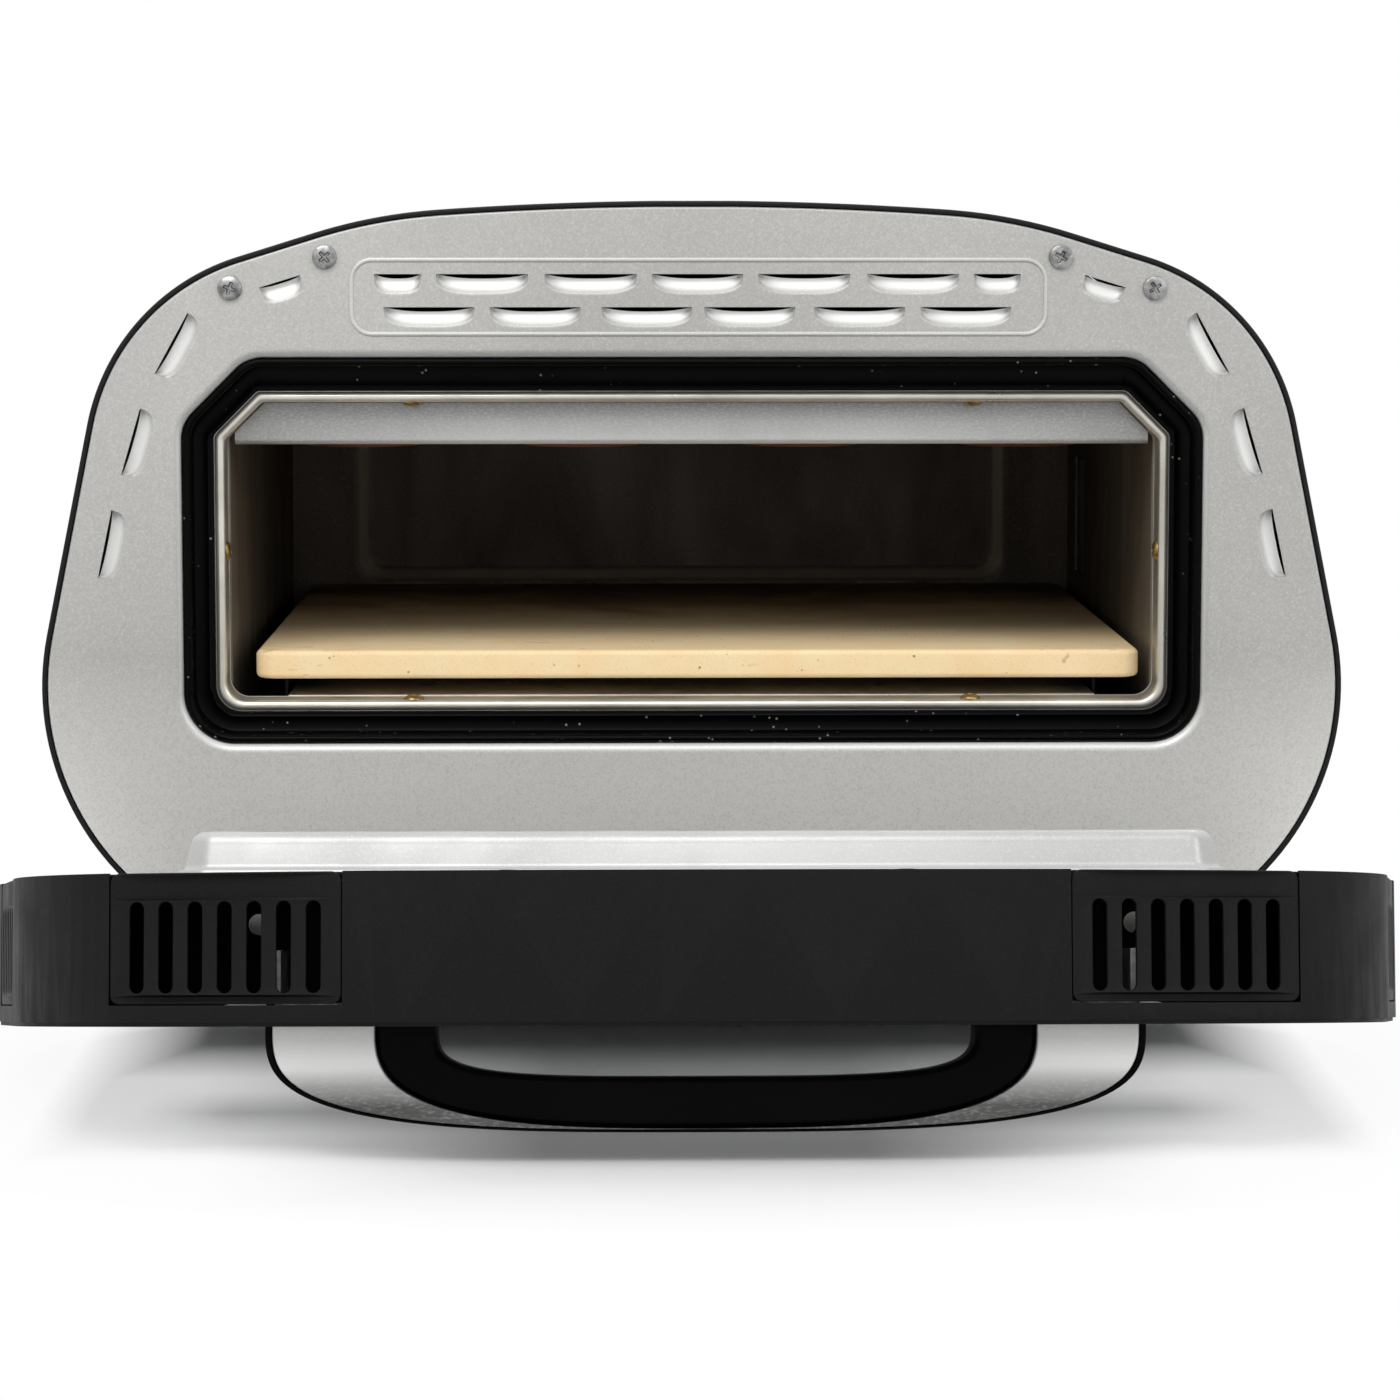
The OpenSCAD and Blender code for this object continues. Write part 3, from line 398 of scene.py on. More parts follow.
print("finishes")
finishes = {
    "shellBlack": {"dark": (11, 11, 12), "light": (13, 13, 14), "grain": 1400, "grainColour": (27, 27, 28),
                   "rough": (0.42, 0.55), "relief": 0.25, "specular": 0.24},
    "panBlack": {"dark": (24, 24, 24), "light": (36, 35, 34), "grainColour": (56, 54, 52),
                 "rough": (0.5, 0.65), "relief": 0.3},
    "steelBright": {"dark": (188, 186, 182), "light": (214, 212, 208), "grain": 700, "metal": 0.85,
                    "rough": (0.24, 0.38), "relief": 0.1, "reliefDepth": 0.00003},
    "steelWarm": {"dark": (186, 182, 172), "light": (224, 221, 212), "grain": 500, "metal": 0.75,
                  "rough": (0.26, 0.4), "relief": 0.12, "reliefDepth": 0.00003},
    "steelScrew": {"dark": (112, 112, 112), "light": (170, 170, 169), "blotch": 300, "grain": 1200,
                   "metal": 0.9, "rough": (0.28, 0.42), "relief": 0.15, "reliefDepth": 0.00003},
    "sealBlack": {"dark": (1, 1, 1), "light": (3, 3, 3), "grain": 300, "rough": (0.3, 0.42),
                  "specular": 0.06, "relief": 0.12, "reliefDepth": 0.0002, "speck": (170, 170, 165),
                  "speckScale": 300},
    "brass": {"dark": (116, 92, 56), "light": (178, 152, 102), "blotch": 400, "grain": 1500, "metal": 0.9,
              "rough": (0.28, 0.42)},
    "copper": {"dark": (134, 84, 54), "light": (186, 130, 92), "blotch": 60, "metal": 0.9,
               "rough": (0.3, 0.5)},
    "heater": {"dark": (58, 32, 22), "light": (98, 62, 44), "blotch": 30, "grainColour": (122, 84, 62),
               "grainMix": 0.4, "metal": 0.5, "rough": (0.4, 0.6), "relief": 0.4},
    "railSteel": {"dark": (128, 124, 116), "light": (160, 157, 150), "grain": 800, "metal": 0.7,
                  "rough": (0.35, 0.5)},
    "rubber": {"dark": (18, 18, 18), "light": (30, 30, 30), "grain": 1100, "grainColour": (44, 44, 44),
               "rough": (0.7, 0.85), "relief": 0.5},
    "plasticBlack": {"dark": (20, 20, 21), "light": (30, 30, 31), "grain": 1600,
                     "grainColour": (44, 44, 45), "rough": (0.4, 0.55), "relief": 0.35},
    "casingBlack": {"dark": (8, 8, 8), "light": (12, 12, 12), "grain": 1300, "specular": 0.15,
                    "grainColour": (24, 24, 24), "rough": (0.5, 0.62), "relief": 0.4, "blotch": 9},
    "gripBlack": {"dark": (1, 1, 1), "light": (3, 3, 3), "rough": (0.24, 0.36), "relief": 0.1,
                  "specular": 0.04},
    "panelSilver": {"dark": (188, 188, 187), "light": (200, 200, 199), "grain": 1300,
                    "grainColour": (214, 214, 213), "metal": 0.3, "rough": (0.32, 0.45), "unlit": -1},
    "panelGrey": {"dark": (184, 185, 186), "light": (190, 191, 192), "grain": 1300,
                  "grainColour": (224, 225, 226), "metal": 0.5, "rough": (0.32, 0.45), "unlit": 1},
    "ceramic": {"dark": (206, 200, 184), "light": (232, 227, 214), "grain": 800,
                "grainColour": (190, 182, 164), "rough": (0.45, 0.65), "speck": (120, 108, 90),
                "speckScale": 500},
    "wool": {"dark": (196, 184, 140), "light": (226, 216, 178), "blotch": 60, "grain": 500,
             "stretch": (1, 4, 4), "grainColour": (240, 232, 204), "rough": (0.85, 0.95), "relief": 0.9,
             "reliefDepth": 0.0006},
    "magnet": {"dark": (58, 58, 60), "light": (84, 84, 86), "metal": 0.6, "rough": (0.35, 0.5)},
    "lensRed": {"dark": (150, 26, 14), "light": (206, 52, 28), "blotch": 300, "rough": (0.1, 0.2),
                "coat": 0.6, "coatRough": 0.05},
    "lampGlow": {"dark": (226, 220, 200), "light": (244, 240, 226), "blotch": 80, "rough": (0.1, 0.2)},
}
looks = {name: surface(name, look) for name, look in finishes.items()}


# where painted light and shade change along the object, in metres
changes = {
    "faceLowPaintedLight": (0.13, 0.055), "highlightDepth": (0.0002, 0.0014), "highlightDepthEnd": (0.0046, 0.0032),
    "handleHighlight": 0.031, "handleShade": (0.029, 0.018), "linerShadeDepth": (-0.02, 0.26),
    "stoneDepth": (0.025, 0.235), "baffleTopShadow": (0.2045, 0.218), "baffleSideShade": (0.07, 0.16),
}


def faceFinish():
    # satin sheet: fine two-way grain, a painted highlight on the pressed bowls and beads, and painted light
    # making the lower plate paler
    n = Nodes("faceSatin")
    grain = n.noise(1500, 4, 0.7)
    n.base = n.mix(n.ramp(n.noise(6, 3), 0.35, 0.65), tone(174, 173, 170), tone(186, 185, 182))
    # painted light: the lower plate is washed paler toward the bottom
    n.wash((240, 239, 235), n.ramp(n.axis("Z"), *changes["faceLowPaintedLight"], 0, 0.9))
    n.wash((140, 139, 136), n.ramp(grain, 0.5, 0.34, 0, 0.26))
    n.wash((238, 237, 233), n.ramp(grain, 0.52, 0.7, 0, 0.3))
    # painted highlight on the pressed bowls and beads just behind the face
    highlightDepth = n.away(n.axis("Y"), faceY * metres)
    near = n.maths("MULTIPLY", n.ramp(highlightDepth, *changes["highlightDepth"]), n.ramp(highlightDepth, *changes["highlightDepthEnd"], 0, 0.7))
    n.wash((248, 248, 246), near)
    n.set(Base_Color=n.base, Metallic=0.35, Roughness=n.ramp(grain, 0.3, 0.7, 0.38, 0.5))
    n.bump(grain, 0.3, 0.00005)
    return n.material


def handleFinish():
    # satin metal, with a painted highlight along one level and painted shade toward its outer edge
    n = Nodes("handleSatin")
    height = n.axis("Z")
    grain = n.noise(1400, 3, 0.6, (0.35, 1, 1))
    n.base = n.mix(n.ramp(n.noise(14, 3), 0.3, 0.7), tone(188, 188, 187), tone(198, 198, 197))
    # painted highlight along one level, then painted shade toward the outer edge
    n.wash((226, 226, 225), n.ramp(n.away(height, changes["handleHighlight"]), 0.007, 0.001, 0, 0.8))
    n.wash((66, 66, 65), n.ramp(height, *changes["handleShade"], 0, 0.95))
    n.wash((236, 236, 235), n.ramp(grain, 0.5, 0.72, 0, 0.14))
    n.set(Base_Color=n.base, Metallic=0.6, Roughness=n.ramp(grain, 0.3, 0.7, 0.3, 0.42))
    n.bump(grain, 0.15, 0.00004)
    return n.material


def linerFinish():
    # dull enamelled steel, darker toward the back with painted shade, streaked with old heat marks, with a
    # painted highlight along the rear pressing
    n = Nodes("linerDark")
    # painted shade: the liner darkens toward the back of the cavity
    depth = n.ramp(n.axis("Y"), *changes["linerShadeDepth"])
    streak = n.noise(22, 5, 0.65, (1, 1, 0.35), 0.6)
    n.base = n.mix(depth, tone(122, 113, 100), tone(62, 51, 40))
    n.wash((38, 28, 22), n.ramp(streak, 0.42, 0.7, 0, 0.55))
    n.wash((110, 100, 90), n.ramp(n.noise(900, 2), 0.55, 0.75, 0, 0.3))
    # painted highlight along the ridge of the rear pressing
    highlightDepth = n.away(n.axis("Y"), (rearPress["y"] + rearPress["deep"] / 2 + faceY) * metres)
    n.wash((150, 138, 122), n.ramp(highlightDepth, 0.0018, 0.0009))
    n.set(Base_Color=n.base, Metallic=0.35, Roughness=n.ramp(streak, 0.3, 0.7, 0.38, 0.6))
    n.bump(n.noise(40, 4), 0.25, 0.0006)
    return n.material


def stoneFinish():
    # pale fired clay; darker toward the back, partly scorch stains and partly painted shade, with fine pits
    # and rubbed scratches
    n = Nodes("stoneClay")
    depth = n.ramp(n.axis("Y"), *changes["stoneDepth"])
    cloud = n.noise(11, 5, 0.6, None, 0.5)
    # scorch stains in clouds, plus painted shade that deepens toward the back
    scorchAndShade = n.maths("ADD", n.maths("MULTIPLY", depth, 1.2), n.ramp(cloud, 0.3, 0.7, -0.42, -0.02))
    n.base = n.mix(n.ramp(n.noise(60, 3), 0.35, 0.65), tone(255, 223, 172), tone(255, 232, 186))
    n.wash((214, 178, 124), n.ramp(scorchAndShade, 0.22, 0.6))
    n.wash((112, 76, 42), n.ramp(scorchAndShade, 0.5, 0.95))
    n.wash((34, 22, 12), n.ramp(scorchAndShade, 0.85, 1.25))
    scratch = n.ramp(n.noise(150, 2, 0.5, (0.35, 1, 1), 1.6), 0.64, 0.7)
    patch = n.ramp(n.noise(14, 2), 0.5, 0.62)
    n.wash((132, 92, 58), n.maths("MULTIPLY", scratch, n.maths("MULTIPLY", patch, 0.45)))
    dots = n.ramp(n.cells(260), 0.16, 0.07)
    rare = n.ramp(n.noise(90, 2), 0.55, 0.62)
    n.wash((86, 58, 34), n.maths("MULTIPLY", dots, rare))
    pits = n.ramp(n.cells(900), 0.22, 0.1)
    n.wash((190, 148, 98), n.maths("MULTIPLY", pits, 0.4))
    n.set(Base_Color=n.base, Roughness=n.ramp(cloud, 0.3, 0.7, 0.72, 0.88))
    n.bump(n.noise(800, 3), 0.35, 0.0002)
    return n.material


def baffleFinish():
    # brushed sheet with a painted shadow toward its top edge and painted shade toward its ends
    n = Nodes("baffleBrushed")
    # painted shadow of the frame toward the top edge
    high = n.ramp(n.axis("Z"), *changes["baffleTopShadow"])
    n.base = n.mix(high, tone(202, 202, 201), tone(146, 146, 145))
    # painted shade toward the ends
    sideShade = n.ramp(n.maths("ABSOLUTE", n.axis("X")), *changes["baffleSideShade"], 0, 0.7)
    n.wash((140, 140, 139), sideShade)
    grain = n.noise(1500, 3, 0.6, (0.5, 1, 1))
    n.wash((222, 222, 221), n.ramp(grain, 0.45, 0.7, 0, 0.35))
    n.wash((140, 140, 140), n.ramp(n.noise(35, 3), 0.5, 0.8, 0, 0.25))
    n.set(Base_Color=n.base, Metallic=0.45, Roughness=n.ramp(grain, 0.3, 0.7, 0.38, 0.52))
    n.bump(grain, 0.25, 0.00005)
    return n.material


def glassFinish(name, tint, rough):
    # tinted glass with faint smears in its colour and gloss
    n = Nodes(name)
    smear = n.noise(16, 4, 0.6, None, 1.0)
    n.set(Base_Color=n.mix(n.ramp(smear, 0.3, 0.7), tint, tone(235, 240, 238)), Transmission_Weight=1.0,
          IOR=1.5, Roughness=n.ramp(smear, 0.35, 0.75, rough, rough + 0.05))
    return n.material


looks["linerDark"] = linerFinish()
looks["stoneClay"] = stoneFinish()
looks["steelBaffle"] = baffleFinish()
looks["faceSilver"] = faceFinish()
looks["handleSilver"] = handleFinish()
looks["glassClear"] = glassFinish("glassClear", tone(222, 230, 226), 0.02)
looks["glassFrost"] = glassFinish("glassFrost", tone(240, 238, 228), 0.4)
looks["glassDark"] = glassFinish("glassDark", tone(90, 92, 92), 0.03)

nodeLooks = {
    "shellBlack": ("outer_shell", "rear_panel"),
    "panBlack": ("base_pan", "stone_rails"),
    "steelScrew": ("rear_screws", "face_screws", "foot_screws", "temperature_shaft", "timer_shaft",
                   "hinge_brackets", "door_screws", "hinge_arms", "handle_brackets", "handle_screws"),
    "faceSilver": ("face_plate",),
    "rubber": ("feet",),
    "plasticBlack": ("power_inlet", "control_panel", "switch_body", "temperature_dial", "timer_dial",
                     "lamp_button"),
    "ceramic": ("terminal_block", "heater_terminals", "thermal_cutout", "thermostat_body", "timer_body"),
    "steelWarm": ("mouth_frame", "floor_shield"),
    "sealBlack": ("mouth_seal",),
    "brass": ("frame_screws",),
    "linerDark": ("cavity_liner", "cavity_back"),
    "steelBaffle": ("baffle",),
    "stoneClay": ("pizza_stone",),
    "heater": ("upper_heaters", "lower_heater"),
    "railSteel": ("heater_clips", "lamp_housing", "glass_retainers"),
    "copper": ("thermostat_probe",),
    "lampGlow": ("lamp",),
    "glassFrost": ("lamp_window",),
    "wool": ("insulation",),
    "lensRed": ("indicator_lens",),
    "steelBright": ("hinge_pins", "striker"),
    "magnet": ("magnet",),
    "casingBlack": ("door_casing", "grille_inserts", "end_grilles"),
    "panelSilver": ("door_inner_panel",),
    "glassClear": ("inner_glass",),
    "panelGrey": ("door_outer_panel",),
    "glassDark": ("outer_glass",),
    "gripBlack": ("handle_grip", "handle_edge"),
    "handleSilver": ("handle_trim",),
}
lookOf = {nodeName: look for look, nodeNames in nodeLooks.items() for nodeName in nodeNames}
for nodeName, look in lookOf.items():
    for place in frame["nodes"][nodeName].material_slots:
        place.material = looks[look]


print("face plate")
# each louvre of the top and low row: x and width; of the side: x, z, turn in degrees and width
louvre = {
    "depth": 2.7, "dip": 1.3, "sideDip": 0.42, "tall": 6.9, "margin": 0.7, "sheet": 1.2,
    "topLevel": 264.8, "lowLevel": 253.2,
    "top": [(-103.9, 16.6), (-74.2, 32.4), (-36, 32.6), (1.5, 32.2), (39.1, 32.6), (77.5, 32.4),
            (107.1, 16.6)],
    "low": [(-92.9, 32), (-55.6, 32), (-16.3, 32), (19.9, 32), (58.7, 32), (96.1, 32)],
    "side": [(145.3, 262.3, -17, 15), (183.7, 240.6, -61, 24.5), (198.4, 206, -73.5, 24.5),
             (208, 169.9, -78, 24.5)],
}
bead = {"half": 122.2, "low": 243.8, "high": 269.8, "radius": 7.2, "shift": 2.0, "rise": 0.55, "wide": 0.9}


def louvreEdge(width, grow=0.0):
    # half of a rounded bar below a line, right to left: x = w cos^0.62, z = -h sin^0.72
    angle = np.radians(np.linspace(0, -180, 41))
    c, s = np.cos(angle), np.sin(angle)
    x = (width / 2 + grow) * np.sign(c) * np.abs(c) ** 0.62
    z = -(louvre["tall"] + grow) * np.abs(s) ** 0.72
    return np.stack([x, z], 1)


def louvreParts(width, dip):
    # v = 0 at the flat sheet, 1 at the rim: depth is a sine of v, so the bowl leaves the sheet smoothly
    outer = louvreEdge(width)
    reach = outer[:, 0] / (width / 2)
    rim = np.stack([outer[:, 0] * 0.92, -0.3 - dip * (1 - np.abs(reach) ** 2.6)], 1)
    v = np.linspace(0, 1, 13)[None, :, None]
    flat = outer[:, None] * (1 - v) + rim[:, None] * v
    deep = louvre["depth"] * np.sin(np.pi / 2 * v ** 1.05) * np.ones((len(outer), 1, 1))
    bowl = np.concatenate([flat[..., :1], deep, flat[..., 1:]], -1)
    skirt = louvreEdge(width, louvre["margin"])
    first = np.insert(skirt, 1, 0.0, axis=1)[:, None]
    front = np.concatenate([first, bowl], 1)
    back = front + [0, louvre["sheet"], 0]
    rimPath = [np.concatenate([g[0], g[1:-1, -1], g[-1][::-1]]) for g in (front, back)]
    return [gridPart(front), gridPart(back), gridPart(np.stack(rimPath, 1))], skirt


def turned(part, angle, x, z):
    # turned in the plane of the face plate, then moved to x, z
    points, faces = part
    a = math.radians(angle)
    px, pz = points[:, 0], points[:, 2]
    made = np.stack([px * math.cos(a) - pz * math.sin(a) + x, points[:, 1],
                     px * math.sin(a) + pz * math.cos(a) + z], 1)
    return made, faces


def facePlate():
    # flat sheet with pressed louvres, a raised bead round them, a rolled rim and the throat of the mouth
    parts, inner, outer = [], [], []
    places = [(x, louvre["topLevel"], 0, w, False) for x, w in louvre["top"]]
    places += [(x, louvre["lowLevel"], 0, w, False) for x, w in louvre["low"]]
    places += [(x, z, a, w, m) for x, z, a, w in louvre["side"] for m in (False, True)]
    for x, z, angle, width, mirror in places:
        made, skirt = louvreParts(width, louvre["dip"] * (1 if angle == 0 else louvre["sideDip"]))
        hole = turned((np.insert(skirt, 1, 0.0, axis=1), None), angle, x, z)[0]
        hole = hole * [-1, 1, 1] if mirror else hole
        (inner if angle == 0 else outer).append(hole[:, [0, 2]])
        for part in made:
            parts.append(moved(turned(part, angle, x, z), mirror=mirror))

    def beadLoop(grow):
        loop = roundBox(bead["half"] + grow, bead["low"] - grow, bead["high"] + grow, bead["radius"] + grow)
        return loop + [bead["shift"], 0]
    w = bead["wide"]
    hump = [(w * math.cos(t), -bead["rise"] * math.sin(t) ** 1.5) for t in np.linspace(0, math.pi, 13)]
    parts.append(sweep(beadLoop, [(w + 0.5, 0)] + hump + [(-w - 0.5, 0)]))
    rim = [(-3.4, 0), (-2.9, 0)] + bend((-2.9, 0.8), 0.8, -90, 0)[1:] + [(-2.1, 1.2), (-3.4, 1.2)]
    parts.append(sweep(outline, rim))
    throat = [(-2.6, 0), (-1.9, 0)] + bend((-1.9, 2.9), 2.9, -90, 0, 10)[1:]
    throat += [(1.0, 15.6), (0.8, 16), (0.2, 16), (0, 15.6), (0, 3.2)]
    throat += bend((-1.9, 2.9), 1.8, 0, -90)[1:] + [(-2.6, 1.2)]
    parts.append(sweep(mouth, throat))
    parts.append(fillPart([outline(-3.4), mouth(-2.6), beadLoop(w + 0.5)] + outer, 0))
    parts.append(fillPart([beadLoop(-w - 0.5)] + inner, 0))
    parts.append(fillPart([outline(-3.4), mouth(-2.6)] + outer + inner, 1.2))
    makePiece("face_sheet", parts, onBody, "body", "faceSilver", ("face_plate",), 50)


facePlate()


print("mouth")
seal = {"floor": 13.6, "rear": 15.9, "wave": 0.6, "line": (0.68, 0.72, 0.76), "dip": 0.3}
frameScrew = {"x": 100, "top": 219.3, "bottom": 112.6, "side": 166.6, "middle": 166, "depth": 18.5}


def sway(loop, amount):
    # uneven hand-laid edge: a sum of sines along the loop, in millimetres toward the middle
    step = np.arange(len(loop)) / len(loop) * 2 * np.pi
    push = np.sin(step * 5 + 0.6) * 0.5 + np.sin(step * 11 + 2.1) * 0.3 + np.sin(step * 23) * 0.2
    middle = np.array([[0, 166.0]])
    away = loop - middle
    return loop - away / np.linalg.norm(away, axis=1, keepdims=True) * (push * amount)[:, None]


def blendLoop(k):
    # k = 0 inside the mouth, 1 at the frame
    return mouth(5.2) * (1 - k) + frameMouth(-0.3) * k


def mouthSeal():
    # round outer bead, flat floor with one wavy line pressed in, closed behind
    floor, rear = seal["floor"], seal["rear"]
    rings = [(mouth(d), y) for d, y in bend((2.65, 2.7), 1.35, 180, 360, 11)]
    rings += [(mouth(4.1), 4), (mouth(4.2), floor - 0.4), (mouth(4.6), floor), (blendLoop(0.3), floor)]
    for share, drop in zip(seal["line"], (0, seal["dip"], 0)):
        rings.append((sway(blendLoop(share), seal["wave"]), floor - drop))
    rings += [(blendLoop(0.88), floor), (frameMouth(-0.4), floor + 0.1)]
    rings += [(frameMouth(-0.3), rear), (mouth(4), rear), (mouth(1.3), rear)]
    parts = [loft(rings, True)]
    makePiece("seal_ring", parts, onBody, "body", "sealBlack", ("mouth_seal",), 60)


def mouthFrame():
    # rolled edge of the opening, with a flat flange before and behind it
    roll = [(0, 29.9)] + bend((1.8, 15.8), 1.8, 180, 360, 13) + [(3.6, 29.9)]
    parts = [sweep(frameMouth, roll, True)]
    flanges = [(mouth(-6), frameMouth(-0.1), 16.3, 17.5), (cutMouth(linerBox), frameMouth(3.7), 28.8, 30)]
    for far, near, y0, y1 in flanges:
        parts.append(loft([(far, y0), (far, y1), (near, y1), (near, y0)], True))
    makePiece("frame_roll", parts, onBody, "body", "steelWarm", ("mouth_frame",), 40)


def frameScrews():
    # low domed heads, turned to stand on the frame's ceiling, floor and sides
    head = [(0, 1.15), (0.9, 1.2), (1.0, 1.62), (2.2, 1.45), (3.2, 0.9), (3.7, 0.1), (3.7, -0.1), (0, -0.1)]
    one, f = lathe(head, 28), frameScrew
    places = []
    for s in (-1, 1):
        places.append(((s * f["x"], f["depth"], f["top"]), [[1, 0, 0], [0, -1, 0], [0, 0, -1]]))
        places.append(((s * f["x"], f["depth"], f["bottom"]), [[1, 0, 0], [0, 1, 0], [0, 0, 1]]))
        places.append(((s * f["side"], f["depth"], f["middle"]), [[0, 0, -s], [0, 1, 0], [s, 0, 0]]))
    parts = [moved(one, place, turn=turn) for place, turn in places]
    makePiece("frame_screw_heads", parts, onBody, "body", "brass", ("frame_screws",))


mouthSeal()
mouthFrame()
frameScrews()


print("oven")
stone = {"x": 2.2, "wide": 319.5, "front": 26.0, "rear": 326.0, "low": 119.2, "thick": 10.2,
         "corner": 7.0, "ease": 2.0}
baffle = {"half": 163.5, "cut": 152.9, "top": 219.0, "low": 203.9, "front": 22.4, "lip": 14.0, "bend": 2.0,
          "sheet": 1.2}
coil = {
    "radius": 3.3, "rear": 352,
    "upper": {"level": 205.2, "front": 62, "back": 288, "x": [(-140, -100, -60, -20), (20, 60, 100, 140)]},
    "lower": {"level": 108.0, "front": 80, "back": 260, "x": [(-120, -60, 60, 120)]},
}


def stoneSlab():
    # rounded rectangle carried round the eased edge, then filled below and on top
    middle = (stone["front"] + stone["rear"]) / 2
    half, long = stone["wide"] / 2, (stone["rear"] - stone["front"]) / 2

    def loop(d):
        flat = roundBox(half - d, -long + d, long - d, stone["corner"] - d * 0.5)
        return flat + [stone["x"], middle]

    def raised(flat, z):
        return np.column_stack([flat, np.full(len(flat), stone["low"] + z)])
    e, t = stone["ease"], stone["thick"]
    side = bend((e, e), e, 270, 180, 6) + bend((e, t - e), e, 180, 90, 8)
    parts = [gridPart(np.stack([raised(loop(d), z) for d, z in side], 1), True)]
    for z in (0, t):
        points, faces = fillPart([loop(e)], 0)
        parts.append((raised(points[:, [0, 2]], z), faces))
    makePiece("clay_slab", parts, onBody, "body", "stoneClay", ("pizza_stone",), 50)


def baffleSheet():
    # bent sheet: u across, v round its section; the top corners are cut at 45 degrees
    half, cut, front, low = baffle["half"], baffle["cut"], baffle["front"], baffle["low"]
    radius, sheet, lip = baffle["bend"], baffle["sheet"], front + baffle["lip"]
    x = np.concatenate([np.linspace(-half, -cut, 9), np.linspace(-150, 150, 31), np.linspace(cut, half, 9)])
    top = baffle["top"] - np.maximum(0, np.abs(x) - cut)
    centre = (front + radius, low + radius)
    profile = bend(centre, radius, 180, 270) + [(lip - 0.4, low), (lip, low + sheet / 2)]
    profile += [(lip - 0.4, low + sheet)] + bend(centre, radius - sheet, 270, 180)
    rows = [(front + 0.6, top), (front + 0.1, top - 0.15), (front, top - 0.6)]
    rows += profile + [(front + sheet, top - 0.6), (front + sheet - 0.1, top - 0.15)]
    grid = np.stack([np.stack([x, 0 * x + y, 0 * x + z], 1) for y, z in rows], 1)
    parts = [gridPart(grid, False, True), capPart(grid[0], 1, 2), capPart(grid[-1], 1, 2)]
    makePiece("baffle_sheet", parts, onBody, "body", "steelBaffle", ("baffle",), 40)


def coilPath(xs, front, back, level):
    # four straight legs joined by half circles, two at the front and one at the back
    stops = (coil["rear"], front, back, front, coil["rear"])
    path = []
    for i, x in enumerate(xs):
        path += [(x, y, level) for y in np.linspace(stops[i], stops[i + 1], 14)]
        if i < 3:
            middle, half, way = (x + xs[i + 1]) / 2, (xs[i + 1] - x) / 2, 1 if i == 1 else -1
            path += [(middle - half * math.cos(t), stops[i + 1] + way * half * math.sin(t), level)
                     for t in np.linspace(0, math.pi, 13)[1:-1]]
    return path


def heaters():
    # a circle carried along each path of legs and turns
    for side, name, node in (("upper", "upper_coils", "upper_heaters"),
                             ("lower", "lower_coil", "lower_heater")):
        c = coil[side]
        parts = [tube(coilPath(xs, c["front"], c["back"], c["level"]), coil["radius"]) for xs in c["x"]]
        makePiece(name, parts, onBody, "body", "heater", (node,), 60)


def rearWall():
    # pressed panel: half a cosine wave in depth round a rounded rectangle, a sheet in front and one behind
    r = rearPress
    y, deep = r["y"], r["deep"]

    def loop(d):
        return roundBox(r["half"] - d, r["low"] + d, r["high"] - d, r["corner"] - d * 0.4)
    step = [(-3 + 8 * t, y + deep * (0.5 - 0.5 * math.cos(math.pi * t))) for t in np.linspace(0, 1, 12)]
    edgeLoop = roundBox(linerBox["half"], linerBox["low"], linerBox["high"], linerBox["cut"])
    parts = [loft([(edgeLoop, y), (edgeLoop, y + 0.9)])]
    for flange, shift in ((0, 0), (0.9, 1)):
        profile = [(-3.6, y + flange)] + [(d, at + shift) for d, at in step] + [(5.6, y + deep + shift)]
        parts += [sweep(loop, profile), fillPart([edgeLoop, loop(-3.6)], y + flange),
                  fillPart([loop(5.6)], y + deep + shift)]
    makePiece("rear_wall", parts, onBody, "body", "linerDark", ("cavity_back",), 50)


stoneSlab()
baffleSheet()
heaters()
rearWall()


faceScrew = {"radius": 4.3, "height": 1.9, "arm": 0.15, "reach": 0.55, "lean": 12,
             "places": [(162.8, 259.8, 20), (129.5, 270.7, 48)]}


def screwHead():
    # dome turned about its axis, with a cross pressed in: depth falls off across each arm
    radius, height = faceScrew["radius"], faceScrew["height"]
    r = np.concatenate([np.linspace(0.0, 0.92, 24), [0.97, 1.0, 1.0]])
    angle = np.linspace(0, 2 * np.pi, 72, endpoint=False)[:, None]
    x, y = r * np.cos(angle), r * np.sin(angle)
    top = np.broadcast_to(height * (1 - 0.42 * r ** 2.6), x.shape).copy()
    top[:, -2], top[:, -1] = height * 0.3, 0
    arm, reach = np.minimum(np.abs(x), np.abs(y)), np.maximum(np.abs(x), np.abs(y))
    cross = np.clip((faceScrew["arm"] - arm) / 0.07, 0, 1) * np.clip((faceScrew["reach"] - reach) / 0.1, 0, 1)
    top -= cross * height * 0.55
    return gridPart(np.stack([x * radius, y * radius, top], -1), True)


def faceScrews():
    parts = []
    for x, z, angle in faceScrew["places"]:
        for s in (-1, 1):
            a = math.radians(angle * s + (faceScrew["lean"] if s > 0 else 0))
            turn = [[math.cos(a), -math.sin(a), 0], [0, 0, -1], [math.sin(a), math.cos(a), 0]]
            parts.append(moved(screwHead(), (s * x, -0.02, z), turn=turn))
    makePiece("face_screw_heads", parts, onBody, "body", "steelScrew", ("face_screws",), 45)


faceScrews()


print("door")
boss = {"pad": 2.0, "tall": 14.3, "window": (118, 134, 200, 8), "notch": (101.4, 122.6, 31.6, 44.4),
        "screwHole": 5.4}


